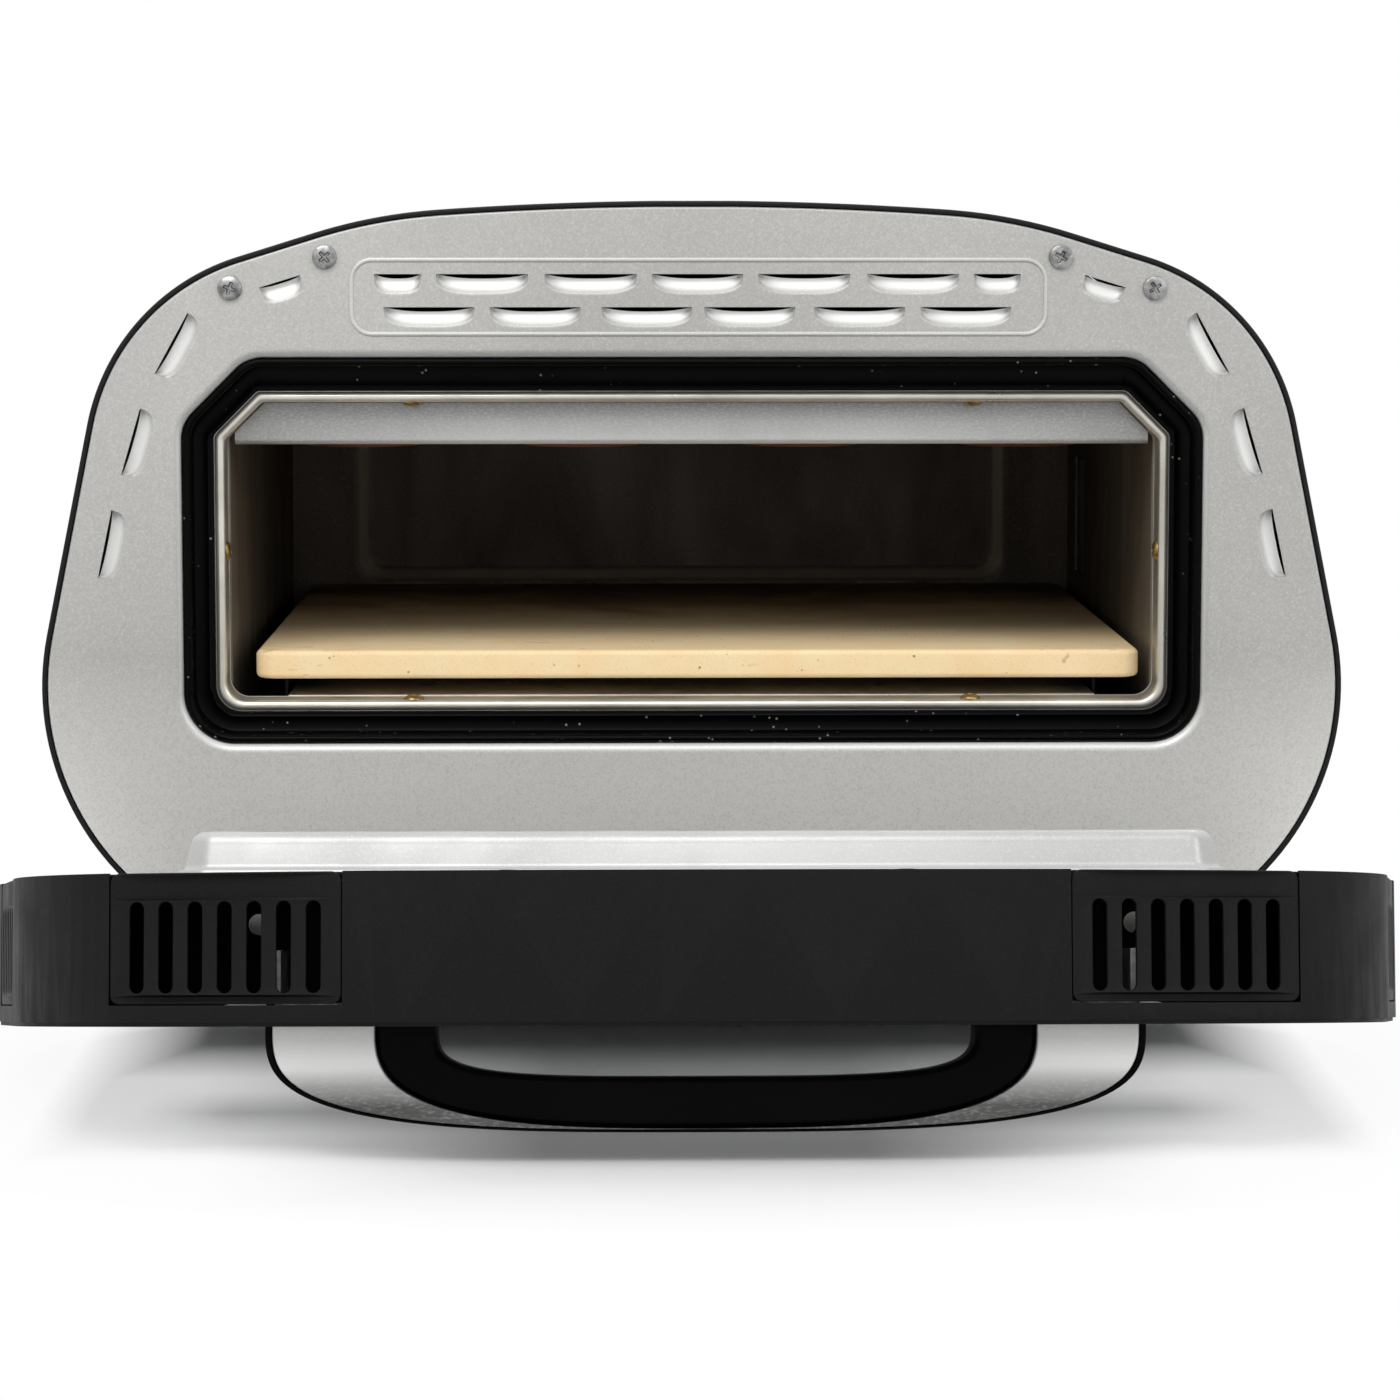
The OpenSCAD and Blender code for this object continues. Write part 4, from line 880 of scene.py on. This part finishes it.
def innerPanel():
    # drawn steel: flat flange, steep wall with eased edges, flat top round the window
    flange = outline(-1.5)
    x0, x1, low, high = boss["notch"]
    flange = flange[flange[:, 1] > low]
    right = [(x1, low), (x1, high), (x0, high), (x0, low)]
    sheetEdge = np.concatenate([flange[:len(flange) // 2], both(np.array(right)), flange[len(flange) // 2:]])
    pad = boss["pad"]
    rim = [(-4.0, -0.2), (-4.0, pad - 0.5)]
    wall = [(-3.6, pad), (-3.2, pad)]
    wall += bend((-3.2, pad + 2.2), 2.2, -90, -8, 8)[1:] + [(-0.2, pad + 6), (0.3, boss["tall"] - 4.6)]
    wall += bend((5.0, boss["tall"] - 4.6), 4.6, 172, 90, 10) + [(9.6, boss["tall"])]
    window = roundBox(*boss["window"])
    parts = []
    for drop, inset, start in ((0.0, 0.0, rim), (1.2, 1.0, [rim[0], (-2.8, -0.2)])):
        section = start + [(d + inset, y - drop) for d, y in wall]
        parts.append(sweep(bossLoop, [(d, doorIn + y) for d, y in section]))
        parts.append(fillPart([bossLoop(9.6 + inset), window], doorIn - drop + boss["tall"]))
    parts.append(loft([(window, doorIn + boss["tall"]), (window, doorIn + boss["tall"] - 1.2)]))
    holes = [bossLoop(-3.9)] + [arc((s * x, z), boss["screwHole"], 0, 360, 33)[:-1]
                                for x, z, _ in faceScrew["places"] for s in (-1, 1)]
    field = [fillPart([sheetEdge] + holes, doorIn - lift) for lift in (0.2, 1.2)]
    for loop in [sheetEdge] + holes:
        field.append(loft([(loop, doorIn - 0.2), (loop, doorIn - 1.2)]))
    makePiece("door_field", field, onDoor, "door", "casingBlack", (), 40)
    makePiece("door_liner", parts, onDoor, "door", "panelSilver", ("door_inner_panel",), 40)


grille = {
    "in": 108.9, "out": 180.2, "front": doorOut + 6.7, "rear": doorIn - 0.1, "corner": 3.0, "thick": 2.8,
    "slotFront": doorOut + 10, "slotRear": doorIn - 8.8, "slotWide": 4.4,
    "edge": {"first": 117.3, "pitch": 9.05, "slots": 7}, "end": {"first": 157.0, "pitch": 8.2, "slots": 6},
    "endLow": 150.3, "endHigh": 204.7,
}
casingSkin = outline(2.3)
casingTop = casingSkin[:len(casingSkin) // 2]
upperSkin = casingTop[casingTop[:, 1] > 206]
sideSkin = casingTop[(casingTop[:, 1] > 120) & (casingTop[:, 1] < 216)][::-1]


def capsule(cx, wide, low, high, grow):
    # slot with round ends
    r = wide / 2 + grow
    top = arc((cx, high - wide / 2), r, 0, 180, 11)
    bottom = arc((cx, low + wide / 2), r, 180, 360, 11)
    return np.concatenate([top, bottom])


def denseBox(x0, x1, y0, y1, radius, inset):
    # rounded rectangle with points every 2 mm, so it can follow a curved skin
    x0, x1, y0, y1, radius = x0 + inset, x1 - inset, y0 + inset, y1 - inset, max(radius - inset, 0.3)
    xs = np.linspace(x0 + radius, x1 - radius, 34)
    ys = np.linspace(y0 + radius, y1 - radius, 8)
    return np.concatenate([
        np.column_stack([xs, 0 * xs + y0]), arc((x1 - radius, y0 + radius), radius, -90, 0, 6)[1:-1],
        np.column_stack([0 * ys + x1, ys]), arc((x1 - radius, y1 - radius), radius, 0, 90, 6)[1:-1],
        np.column_stack([xs[::-1], 0 * xs + y1]), arc((x0 + radius, y1 - radius), radius, 90, 180, 6)[1:-1],
        np.column_stack([0 * ys + x0, ys[::-1]]), arc((x0 + radius, y0 + radius), radius, 180, 270, 6)[1:-1],
    ])


def deepWall(loops, depths):
    # wall between matching loops, each at its own depth below the skin
    return gridPart(np.stack([ring(loop, d)[:, [0, 2, 1]] for loop, d in zip(loops, depths)], 1), True)


def slottedPanel(low, high, row):
    # flat panel of (a, y) with depth below its skin: eased rim, and eased slots right through
    g, deep = grille, grille["thick"]
    rim = [denseBox(low, high, g["front"], g["rear"], g["corner"], inset) for inset in (0.0, 0.0, 0.12, 0.4)]
    parts, holes = [deepWall(rim, (deep, 0.4, 0.12, 0.0))], []
    for i in range(row["slots"]):
        slot = (row["first"] + i * row["pitch"], g["slotWide"], g["slotFront"], g["slotRear"])
        holes.append([capsule(*slot, grow) for grow in (0.45, 0.13, 0.0, 0.0)])
        parts.append(deepWall(holes[-1], (0.0, 0.13, 0.45, deep)))
    for depth, loops in ((0, [rim[3]] + [h[0] for h in holes]), (deep, [rim[0]] + [h[3] for h in holes])):
        points, faces = fillPart(loops, depth)
        parts.append((points[:, [0, 2, 1]], faces))
    return parts


def grillePanels():
    # each flat panel is laid on the casing's skin: the edge ones along x, the end ones along z
    parts = []
    for points, faces in slottedPanel(grille["in"], grille["out"], grille["edge"]):
        z = np.interp(points[:, 0], upperSkin[:, 0], upperSkin[:, 1])
        parts += pair((np.column_stack([points[:, 0], points[:, 1], z - points[:, 2]]), faces))
    makePiece("edge_grilles", parts, onDoor, "door", "casingBlack", ("grille_inserts",), 40)
    parts = []
    for points, faces in slottedPanel(grille["endLow"], grille["endHigh"], grille["end"]):
        x = np.interp(points[:, 0], sideSkin[:, 1], sideSkin[:, 0])
        parts += pair((np.column_stack([x - points[:, 2], points[:, 1], points[:, 0]]), faces))
    makePiece("side_grilles", parts, onDoor, "door", "casingBlack", ("end_grilles",), 40)


# each bow's outer and inner line: half width, millimetres out of the door, power; then its margins and ease
handle = {
    "low": 246.0, "tall": 22.0, "foot": 3.1,
    "grip_bow": {"outer": (99.7, 30.85, 0.66), "inner": (81.3, 15.5, 0.5), "margin": 0.6, "ease": 2.6},
    "trim_bow": {"outer": (130.9, 31.3, 0.62), "inner": (100, 31.05, 0.66), "margin": 0, "ease": 0.9},
    "rim_bow": {"outer": (133, 32.2, 0.62), "inner": (131.2, 31.6, 0.62), "margin": 0.4, "ease": 0.3},
}


def bowLine(wide, high, power):
    # bow: w cos^e across and h sin^e outward, with a short straight foot at each end
    a = np.concatenate([np.linspace(0, 20, 15), np.linspace(22, 158, 45), np.linspace(160, 180, 15)])
    a = np.radians(a)
    c, s = np.cos(a), np.abs(np.sin(a))
    line = np.stack([wide * np.sign(c) * np.abs(c) ** power, -high * s ** power], 1)
    return np.concatenate([[[wide, handle["foot"]]], line, [[-wide, handle["foot"]]]])


def bowSolid(outer, inner, low, high, ease):
    # v goes round a rounded rectangle between the two lines; ease is its corner radius in millimetres
    a, b = bowLine(*outer), bowLine(*inner)
    gap = np.linalg.norm(a - b, axis=1)[:, None]
    share = np.minimum(ease / np.maximum(gap, 0.01), 0.5)
    rows = []
    for corner, (sideSign, upSign) in enumerate(((1, 1), (-1, 1), (-1, -1), (1, -1))):
        base = corner * 90
        for t in np.radians(np.linspace(base, base + 90, 6)):
            k = (0.5 + sideSign * 0.5) - sideSign * share * (1 - sideSign * math.cos(t))
            z = (high - ease if upSign > 0 else low + ease) + ease * math.sin(t)
            across = b * (1 - k) + a * k
            rows.append(np.column_stack([across[:, 0], doorOut + across[:, 1], np.full(len(a), z)]))
    grid = np.stack(rows, 1)
    return [gridPart(grid, False, True), capPart(grid[0], 0, 2), capPart(grid[-1], 0, 2)]


rib = {"in": 97, "out": 205, "front": doorOut + 9.4, "rear": doorIn - 1.5, "low": 107.2, "thick": 1.2,
       "corner": 2.5, "hole": (148, -13.5), "holeRadius": 3.6}


def doorRib():
    # cross rib between the two skins of the door, with a cable hole; it closes the view through the slots
    rim = denseBox(rib["in"], rib["out"], rib["front"], rib["rear"], rib["corner"], 0)
    loops = [rim, arc(rib["hole"], rib["holeRadius"], 0, 360, 33)[:-1]]
    levels = (rib["low"], rib["low"] + rib["thick"])
    parts = []
    for points, faces in [fillPart(loops, z) for z in levels]:
        parts.append((points[:, [0, 2, 1]], faces))
    parts += [deepWall((loop, loop), levels) for loop in loops]
    sides = [side for part in parts for side in pair(part)]
    makePiece("door_rib", sides, onDoor, "door", "casingBlack", (), 40)


def handleParts():
    low, high = handle["low"], handle["low"] + handle["tall"]
    for name, look, node, slot in (("grip_bow", "gripBlack", "handle_grip", "grip_black"),
                                   ("trim_bow", "handleSilver", "handle_trim", "handle_silver"),
                                   ("rim_bow", "gripBlack", "handle_edge", "black_plastic")):
        bow = handle[name]
        parts = bowSolid(bow["outer"], bow["inner"], low + bow["margin"], high - bow["margin"], bow["ease"])
        makePiece(name, parts, onDoor, "door", look, (node,), 40)


innerPanel()
grillePanels()
doorRib()
handleParts()
easedCopy("door_casing", 0.9)


print("controls")
dial = {"radius": 21.0, "flutes": 24, "flute": 0.8, "depths": {"temperature": 165.0, "timer": 233.0}}
button = {"radius": 7.0, "depth": 288.0, "dish": 0.7}
lens = {"depth": 316.0}
foot = {"radius": 14.0, "x": 112.0, "depths": (38.0, 340.0), "tall": 22.0}


def dialPart():
    # turned grip: flutes are the positive part of a cosine round it, the pointer a shallow groove in its top
    g = dial["radius"]
    # radius, height and share of the flutes
    profile = [(0, 13.6, 0), (3.05, 13.6, 0), (3.05, 2.6, 0), (g - 0.5, 2.6, 0), (g, 3.0, 0), (g, 5.0, 0),
               (g - 0.5, 5.6, 0), (g - 2.0, 6.6, 0.2), (g - 2.5, 7.4, 1), (g - 3.1, 13.2, 1),
               (g - 3.3, 14.0, 0.8), (g - 3.9, 14.6, 0.3), (g - 4.7, 14.9, 0)]
    profile += [(float(v), 14.9, 0) for v in np.linspace(g - 5.2, 0, 30)]
    r, z, w = np.array(profile).T
    angle = np.linspace(0, 2 * np.pi, 288, endpoint=False)[:, None]
    reach = r - w * dial["flute"] * np.maximum(0, np.cos(angle * dial["flutes"])) ** 2
    x, y = reach * np.cos(angle), reach * np.sin(angle)
    groove = np.clip((0.9 - np.abs(y)) / 0.4, 0, 1)
    groove = groove * np.clip((-x - 6.5) / 0.5, 0, 1) * np.clip((x + g - 5.4) / 0.5, 0, 1)
    top = z - 0.6 * groove * (z > 14.8)
    return gridPart(np.stack([x, y, top], -1), True)


def controlParts():
    # profiles of (radius, height) turned about the side wall's outward axis
    for name, depth in dial["depths"].items():
        makePiece(name + "_grip", [dialPart()], onSide(depth), name + "_control", "plasticBlack",
                  (name + "_dial",), 34)
    r, d = button["radius"], button["dish"]
    cap = [(0, -4), (r - 0.3, -4), (r, -3.7), (r, 5.4)] + bend((r - 0.8, 5.4), 0.8, 0, 90, 7)[1:]
    cap += [(float(v), 6.2 - d * (1 - (v / (r - 1)) ** 2)) for v in np.linspace(r - 1, 0, 14)]
    stem = [(0, -14), (2.4, -14), (2.4, -3.9), (0, -3.9)]
    makePiece("lamp_push", [lathe(cap), lathe(stem, 32)], onSide(button["depth"]), "lamp_switch",
              "plasticBlack", ("lamp_button",))
    dome = [(0, -4), (2.3, -4), (2.4, -3.8), (2.4, 2.0), (3.3, 2.0)]
    dome += [(3.4 * math.cos(t), 2.1 + 1.5 * math.sin(t)) for t in np.linspace(0, math.pi / 2, 14)]
    makePiece("lens_dome", [lathe(dome, 48)], onSide(lens["depth"]), "body", "lensRed",
              ("indicator_lens",))


def footParts():
    # hollow rubber foot turned about its screw, four times
    r, t = foot["radius"], foot["tall"]
    rubber = [(2.6, 21.99), (2.6, 12), (5.3, 12), (5.5, 11.8), (5.5, 0.3), (5.8, 0), (r - 2.9, 0)]
    rubber += bend((r - 2.4, 1.0), 1.0, 270, 350, 6)
    rubber += [(r - 0.1, t - 4), (r, t - 3), (r, t - 0.4), (r - 0.4, t - 0.01)]
    parts = []
    for depth in foot["depths"]:
        parts += pair(moved(lathe(rubber + [rubber[0]], 72), (foot["x"], depth, 0)))
    makePiece("rubber_feet", parts, onBody, "body", "rubber", ("feet",))


controlParts()
footParts()


print("shell")
shell = {"wall": 1.8, "deep": 378.0, "split": 44.0, "slots": 9, "first": 232.5, "pitch": 12.0, "wide": 5.0,
         "low": 150.0, "high": 198.0}


def shellStrip(grow):
    # outline from the lower left edge over the top to the lower right edge, cut level at the split
    level, half = outline(0), outline(grow)
    level, half = level[:len(level) // 2], half[:len(half) // 2]
    count = int((level[:, 1] > shell["split"]).sum())
    a, b = half[count - 1], half[count]
    t = (shell["split"] - a[1]) / (b[1] - a[1])
    right = np.concatenate([half[:count], [a + (b - a) * t]])
    return np.concatenate([right[::-1] * [-1, 1], right])


def outerShell():
    # section of (offset, depth) round a wall 1.8 mm thick, carried along the open outline
    w, deep = shell["wall"], shell["deep"]
    nose = [(0, 0.6), (-0.16, 0.16), (-0.5, 0)]
    lip = nose + [(-w - d, y) for d, y in nose[::-1]]
    section = lip + [(d, deep - y) for d, y in lip[::-1]]
    grid = np.stack([ring(shellStrip(d), y) for d, y in section], 1)
    points, faces = gridPart(grid, False, True)
    # the straight left wall is taken out of the inner and outer skin and put back with its slots
    strip = shellStrip(0)
    wall = int(np.argmax(np.linalg.norm(np.diff(strip[:len(strip) // 2], axis=0), axis=1)))
    long = [len(lip) - 1, 2 * len(lip) - 1]
    rows = len(section)
    keep = np.ones(len(faces), bool)
    keep[[wall * rows + v for v in long]] = False
    parts = [(points, faces[keep])]
    parts += [capPart(grid[0], 0, 1), capPart(grid[-1], 0, 1)]
    loops = {}
    for depth, (d, start) in {"out": (0, 0.6), "in": (-w, 0.6)}.items():
        low, high = shellStrip(d)[wall], shellStrip(d)[wall + 1]

        def onWall(flat, low=low, high=high):
            share = (flat[:, 1] - low[1]) / (high[1] - low[1])
            return np.column_stack([low[0] + (high[0] - low[0]) * share, flat[:, 0], flat[:, 1]])
        border = [(start, low[1]), (deep - start, low[1]), (deep - start, high[1]), (start, high[1])]
        holes = [capsule(shell["first"] + i * shell["pitch"], shell["wide"], shell["low"], shell["high"], 0)
                 for i in range(shell["slots"])]
        flat, tris = fillPart([np.array(border)] + holes, 0)
        parts.append((onWall(flat[:, [0, 2]]), tris))
        loops[depth] = [onWall(hole) for hole in holes]
    for a, b in zip(loops["out"], loops["in"]):
        parts.append(gridPart(np.stack([a, b], 1), True))
    makePiece("shell_wrap", parts, onBody, "body", "shellBlack", ("outer_shell",), 40)


outerShell()

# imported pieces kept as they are, with their sharp edges eased: width in millimetres and material slot
eased = {
    "base_pan": (0.5, "pan_black"), "rear_panel": (0.3, "pan_black"),
    "control_panel": (0.5, "black_plastic"), "power_inlet": (0.5, "black_plastic"),
    "hinge_brackets": (0.4, "screw_steel"), "hinge_arms": (0.4, "screw_steel"),
    "hinge_pins": (0.4, "screw_steel"), "door_outer_panel": (0.3, "face_silver"),
    "outer_glass": (0.6, "glass_dark"), "inner_glass": (0.5, "glass_clear"),
    "glass_retainers": (0.3, "frame_steel"), "handle_brackets": (0.3, "screw_steel"),
    "floor_shield": (0.25, "frame_steel"), "stone_rails": (0.25, "frame_steel"),
    "lamp_window": (0.3, "glass_clear"),
}
for nodeName, (width, slotName) in eased.items():
    easedCopy(nodeName, width)


print("stage")
light = {
    "world": 0.62,
    "key": {"place": (-0.5, -1.3, 1.7), "aim": (0, 0, 0.1), "size": (1.4, 1.0), "power": 22},
    "fill": {"place": (1.3, -1.1, 0.9), "aim": (0, 0, 0.12), "size": (0.9, 0.9), "power": 5},
    "back": {"place": (0.3, 1.5, 1.6), "aim": (0, 0.1, 0.1), "size": (1.6, 0.8), "power": 9},
}
view = {"place": (-0.025, -1.616, 0.282), "down": 6.13, "turn": -1.004, "sensor": 36, "focal": 4424,
        "wide": 1400}
# painted light on the table top's shadow, where the camera sees it paler: first and last place in metres,
# then its least and most
paintedFloorLight = {
    "band": {"ahead": (-0.105, -0.165), "across": (0.05, 0.165, 0.1, 0.55)},
    "dip": {"middle": -0.222, "ahead": (0.035, 0.0), "across": (0.18, 0.15, 0.0, 0.6)},
    "front": {"ahead": (-0.235, -0.3), "across": (0.06, 0.15, 0.1, 0.9)},
    "side": (0.17, 0.212, 0.0, 0.92), "far": (0.32, 0.4),
}


def seenRay(tree):
    # 1 for rays that show the background to the camera, straight, mirrored or through glass
    path = tree.nodes.new("ShaderNodeLightPath")
    seen = path.outputs["Is Camera Ray"]
    for ray in ("Is Glossy Ray", "Is Transmission Ray"):
        more = tree.nodes.new("ShaderNodeMath")
        more.operation = "MAXIMUM"
        tree.links.new(seen, more.inputs[0])
        tree.links.new(path.outputs[ray], more.inputs[1])
        seen = more.outputs[0]
    return seen


def stageFinish():
    # white table top; its shadow keeps its depth under the body, is lightened by painted light in set bands,
    # and fades to plain white around it
    n = Nodes("tableWhite")
    far = n.node("ShaderNodeVectorMath", {0: n.place}, operation="LENGTH").outputs["Value"]
    n.set(Base_Color=n.mix(n.ramp(n.noise(40, 3), 0.3, 0.7), tone(247, 247, 247), tone(250, 250, 250)),
          Roughness=0.6)
    across, ahead = n.maths("ABSOLUTE", n.axis("X")), n.axis("Y")

    def patch(name, along):
        place = paintedFloorLight[name]
        return n.maths("MULTIPLY", n.ramp(along, *place["ahead"]), n.ramp(across, *place["across"]))
    # painted light: bands that lighten the table's shadow beside and between the shadows of casing and handle
    dip = patch("dip", n.away(ahead, paintedFloorLight["dip"]["middle"]))
    band = n.maths("MULTIPLY", patch("band", ahead), n.maths("SUBTRACT", 1.0, dip))
    side = n.maths("MAXIMUM", n.ramp(across, *paintedFloorLight["side"]), n.ramp(far, *paintedFloorLight["far"]))
    lift = n.maths("MAXIMUM", side, n.maths("MAXIMUM", band, patch("front", ahead)))
    lift = n.maths("MULTIPLY", lift, seenRay(n.tree))
    glow = n.node("ShaderNodeEmission", {"Color": (1, 1, 1, 1), "Strength": 1.0}).outputs[0]
    blend = n.node("ShaderNodeMixShader", {0: lift, 1: n.shader.outputs[0], 2: glow})
    n.tree.links.new(blend.outputs[0], n.tree.nodes["Material Output"].inputs[0])
    return n.material


def stage():
    # flat grid 28 metres wide
    side = np.linspace(-14, 14, 9)
    x, y = np.meshgrid(side, side, indexing="ij")
    points, faces = gridPart(np.stack([x, y, x * 0], -1))
    mesh = bpy.data.meshes.new("table")
    mesh.from_pydata(points.tolist(), [], faces.tolist())
    table = bpy.data.objects.new("table", mesh)
    bpy.context.scene.collection.objects.link(table)
    mesh.materials.append(stageFinish())


def softBox(name, place, aim, size, power):
    lamp = bpy.data.lights.new(name, "AREA")
    lamp.shape, lamp.size, lamp.size_y, lamp.energy = "RECTANGLE", size[0], size[1], power
    holder = bpy.data.objects.new(name, lamp)
    holder.location = place
    holder.rotation_euler = (Vector(aim) - Vector(place)).to_track_quat("-Z", "Y").to_euler()
    bpy.context.scene.collection.objects.link(holder)


def daylight():
    world = bpy.data.worlds.new("studio")
    bpy.context.scene.world = world
    world.use_nodes = True
    tree = world.node_tree
    base = tree.nodes["Background"]
    base.inputs[0].default_value = (1, 1, 1, 1)
    base.inputs[1].default_value = light["world"]
    white = tree.nodes.new("ShaderNodeBackground")
    white.inputs[0].default_value = (1, 1, 1, 1)
    white.inputs[1].default_value = 1.0
    blend = tree.nodes.new("ShaderNodeMixShader")
    tree.links.new(seenRay(tree), blend.inputs[0])
    tree.links.new(base.outputs[0], blend.inputs[1])
    tree.links.new(white.outputs[0], blend.inputs[2])
    tree.links.new(blend.outputs[0], tree.nodes["World Output"].inputs[0])


stage()
daylight()
for lampName in ("key", "fill", "back"):
    softBox(lampName, **light[lampName])

camera = bpy.data.cameras.new("view")
camera.sensor_width = view["sensor"]
camera.lens = view["sensor"] * view["focal"] / view["wide"]  # focal length and width in pixels
eye = bpy.data.objects.new("view", camera)
eye.location = view["place"]
eye.rotation_euler = (math.radians(90 - view["down"]), 0, math.radians(view["turn"]))
bpy.context.scene.collection.objects.link(eye)
bpy.context.scene.camera = eye
bpy.context.scene.view_settings.view_transform = "Standard"

bpy.context.view_layer.update()
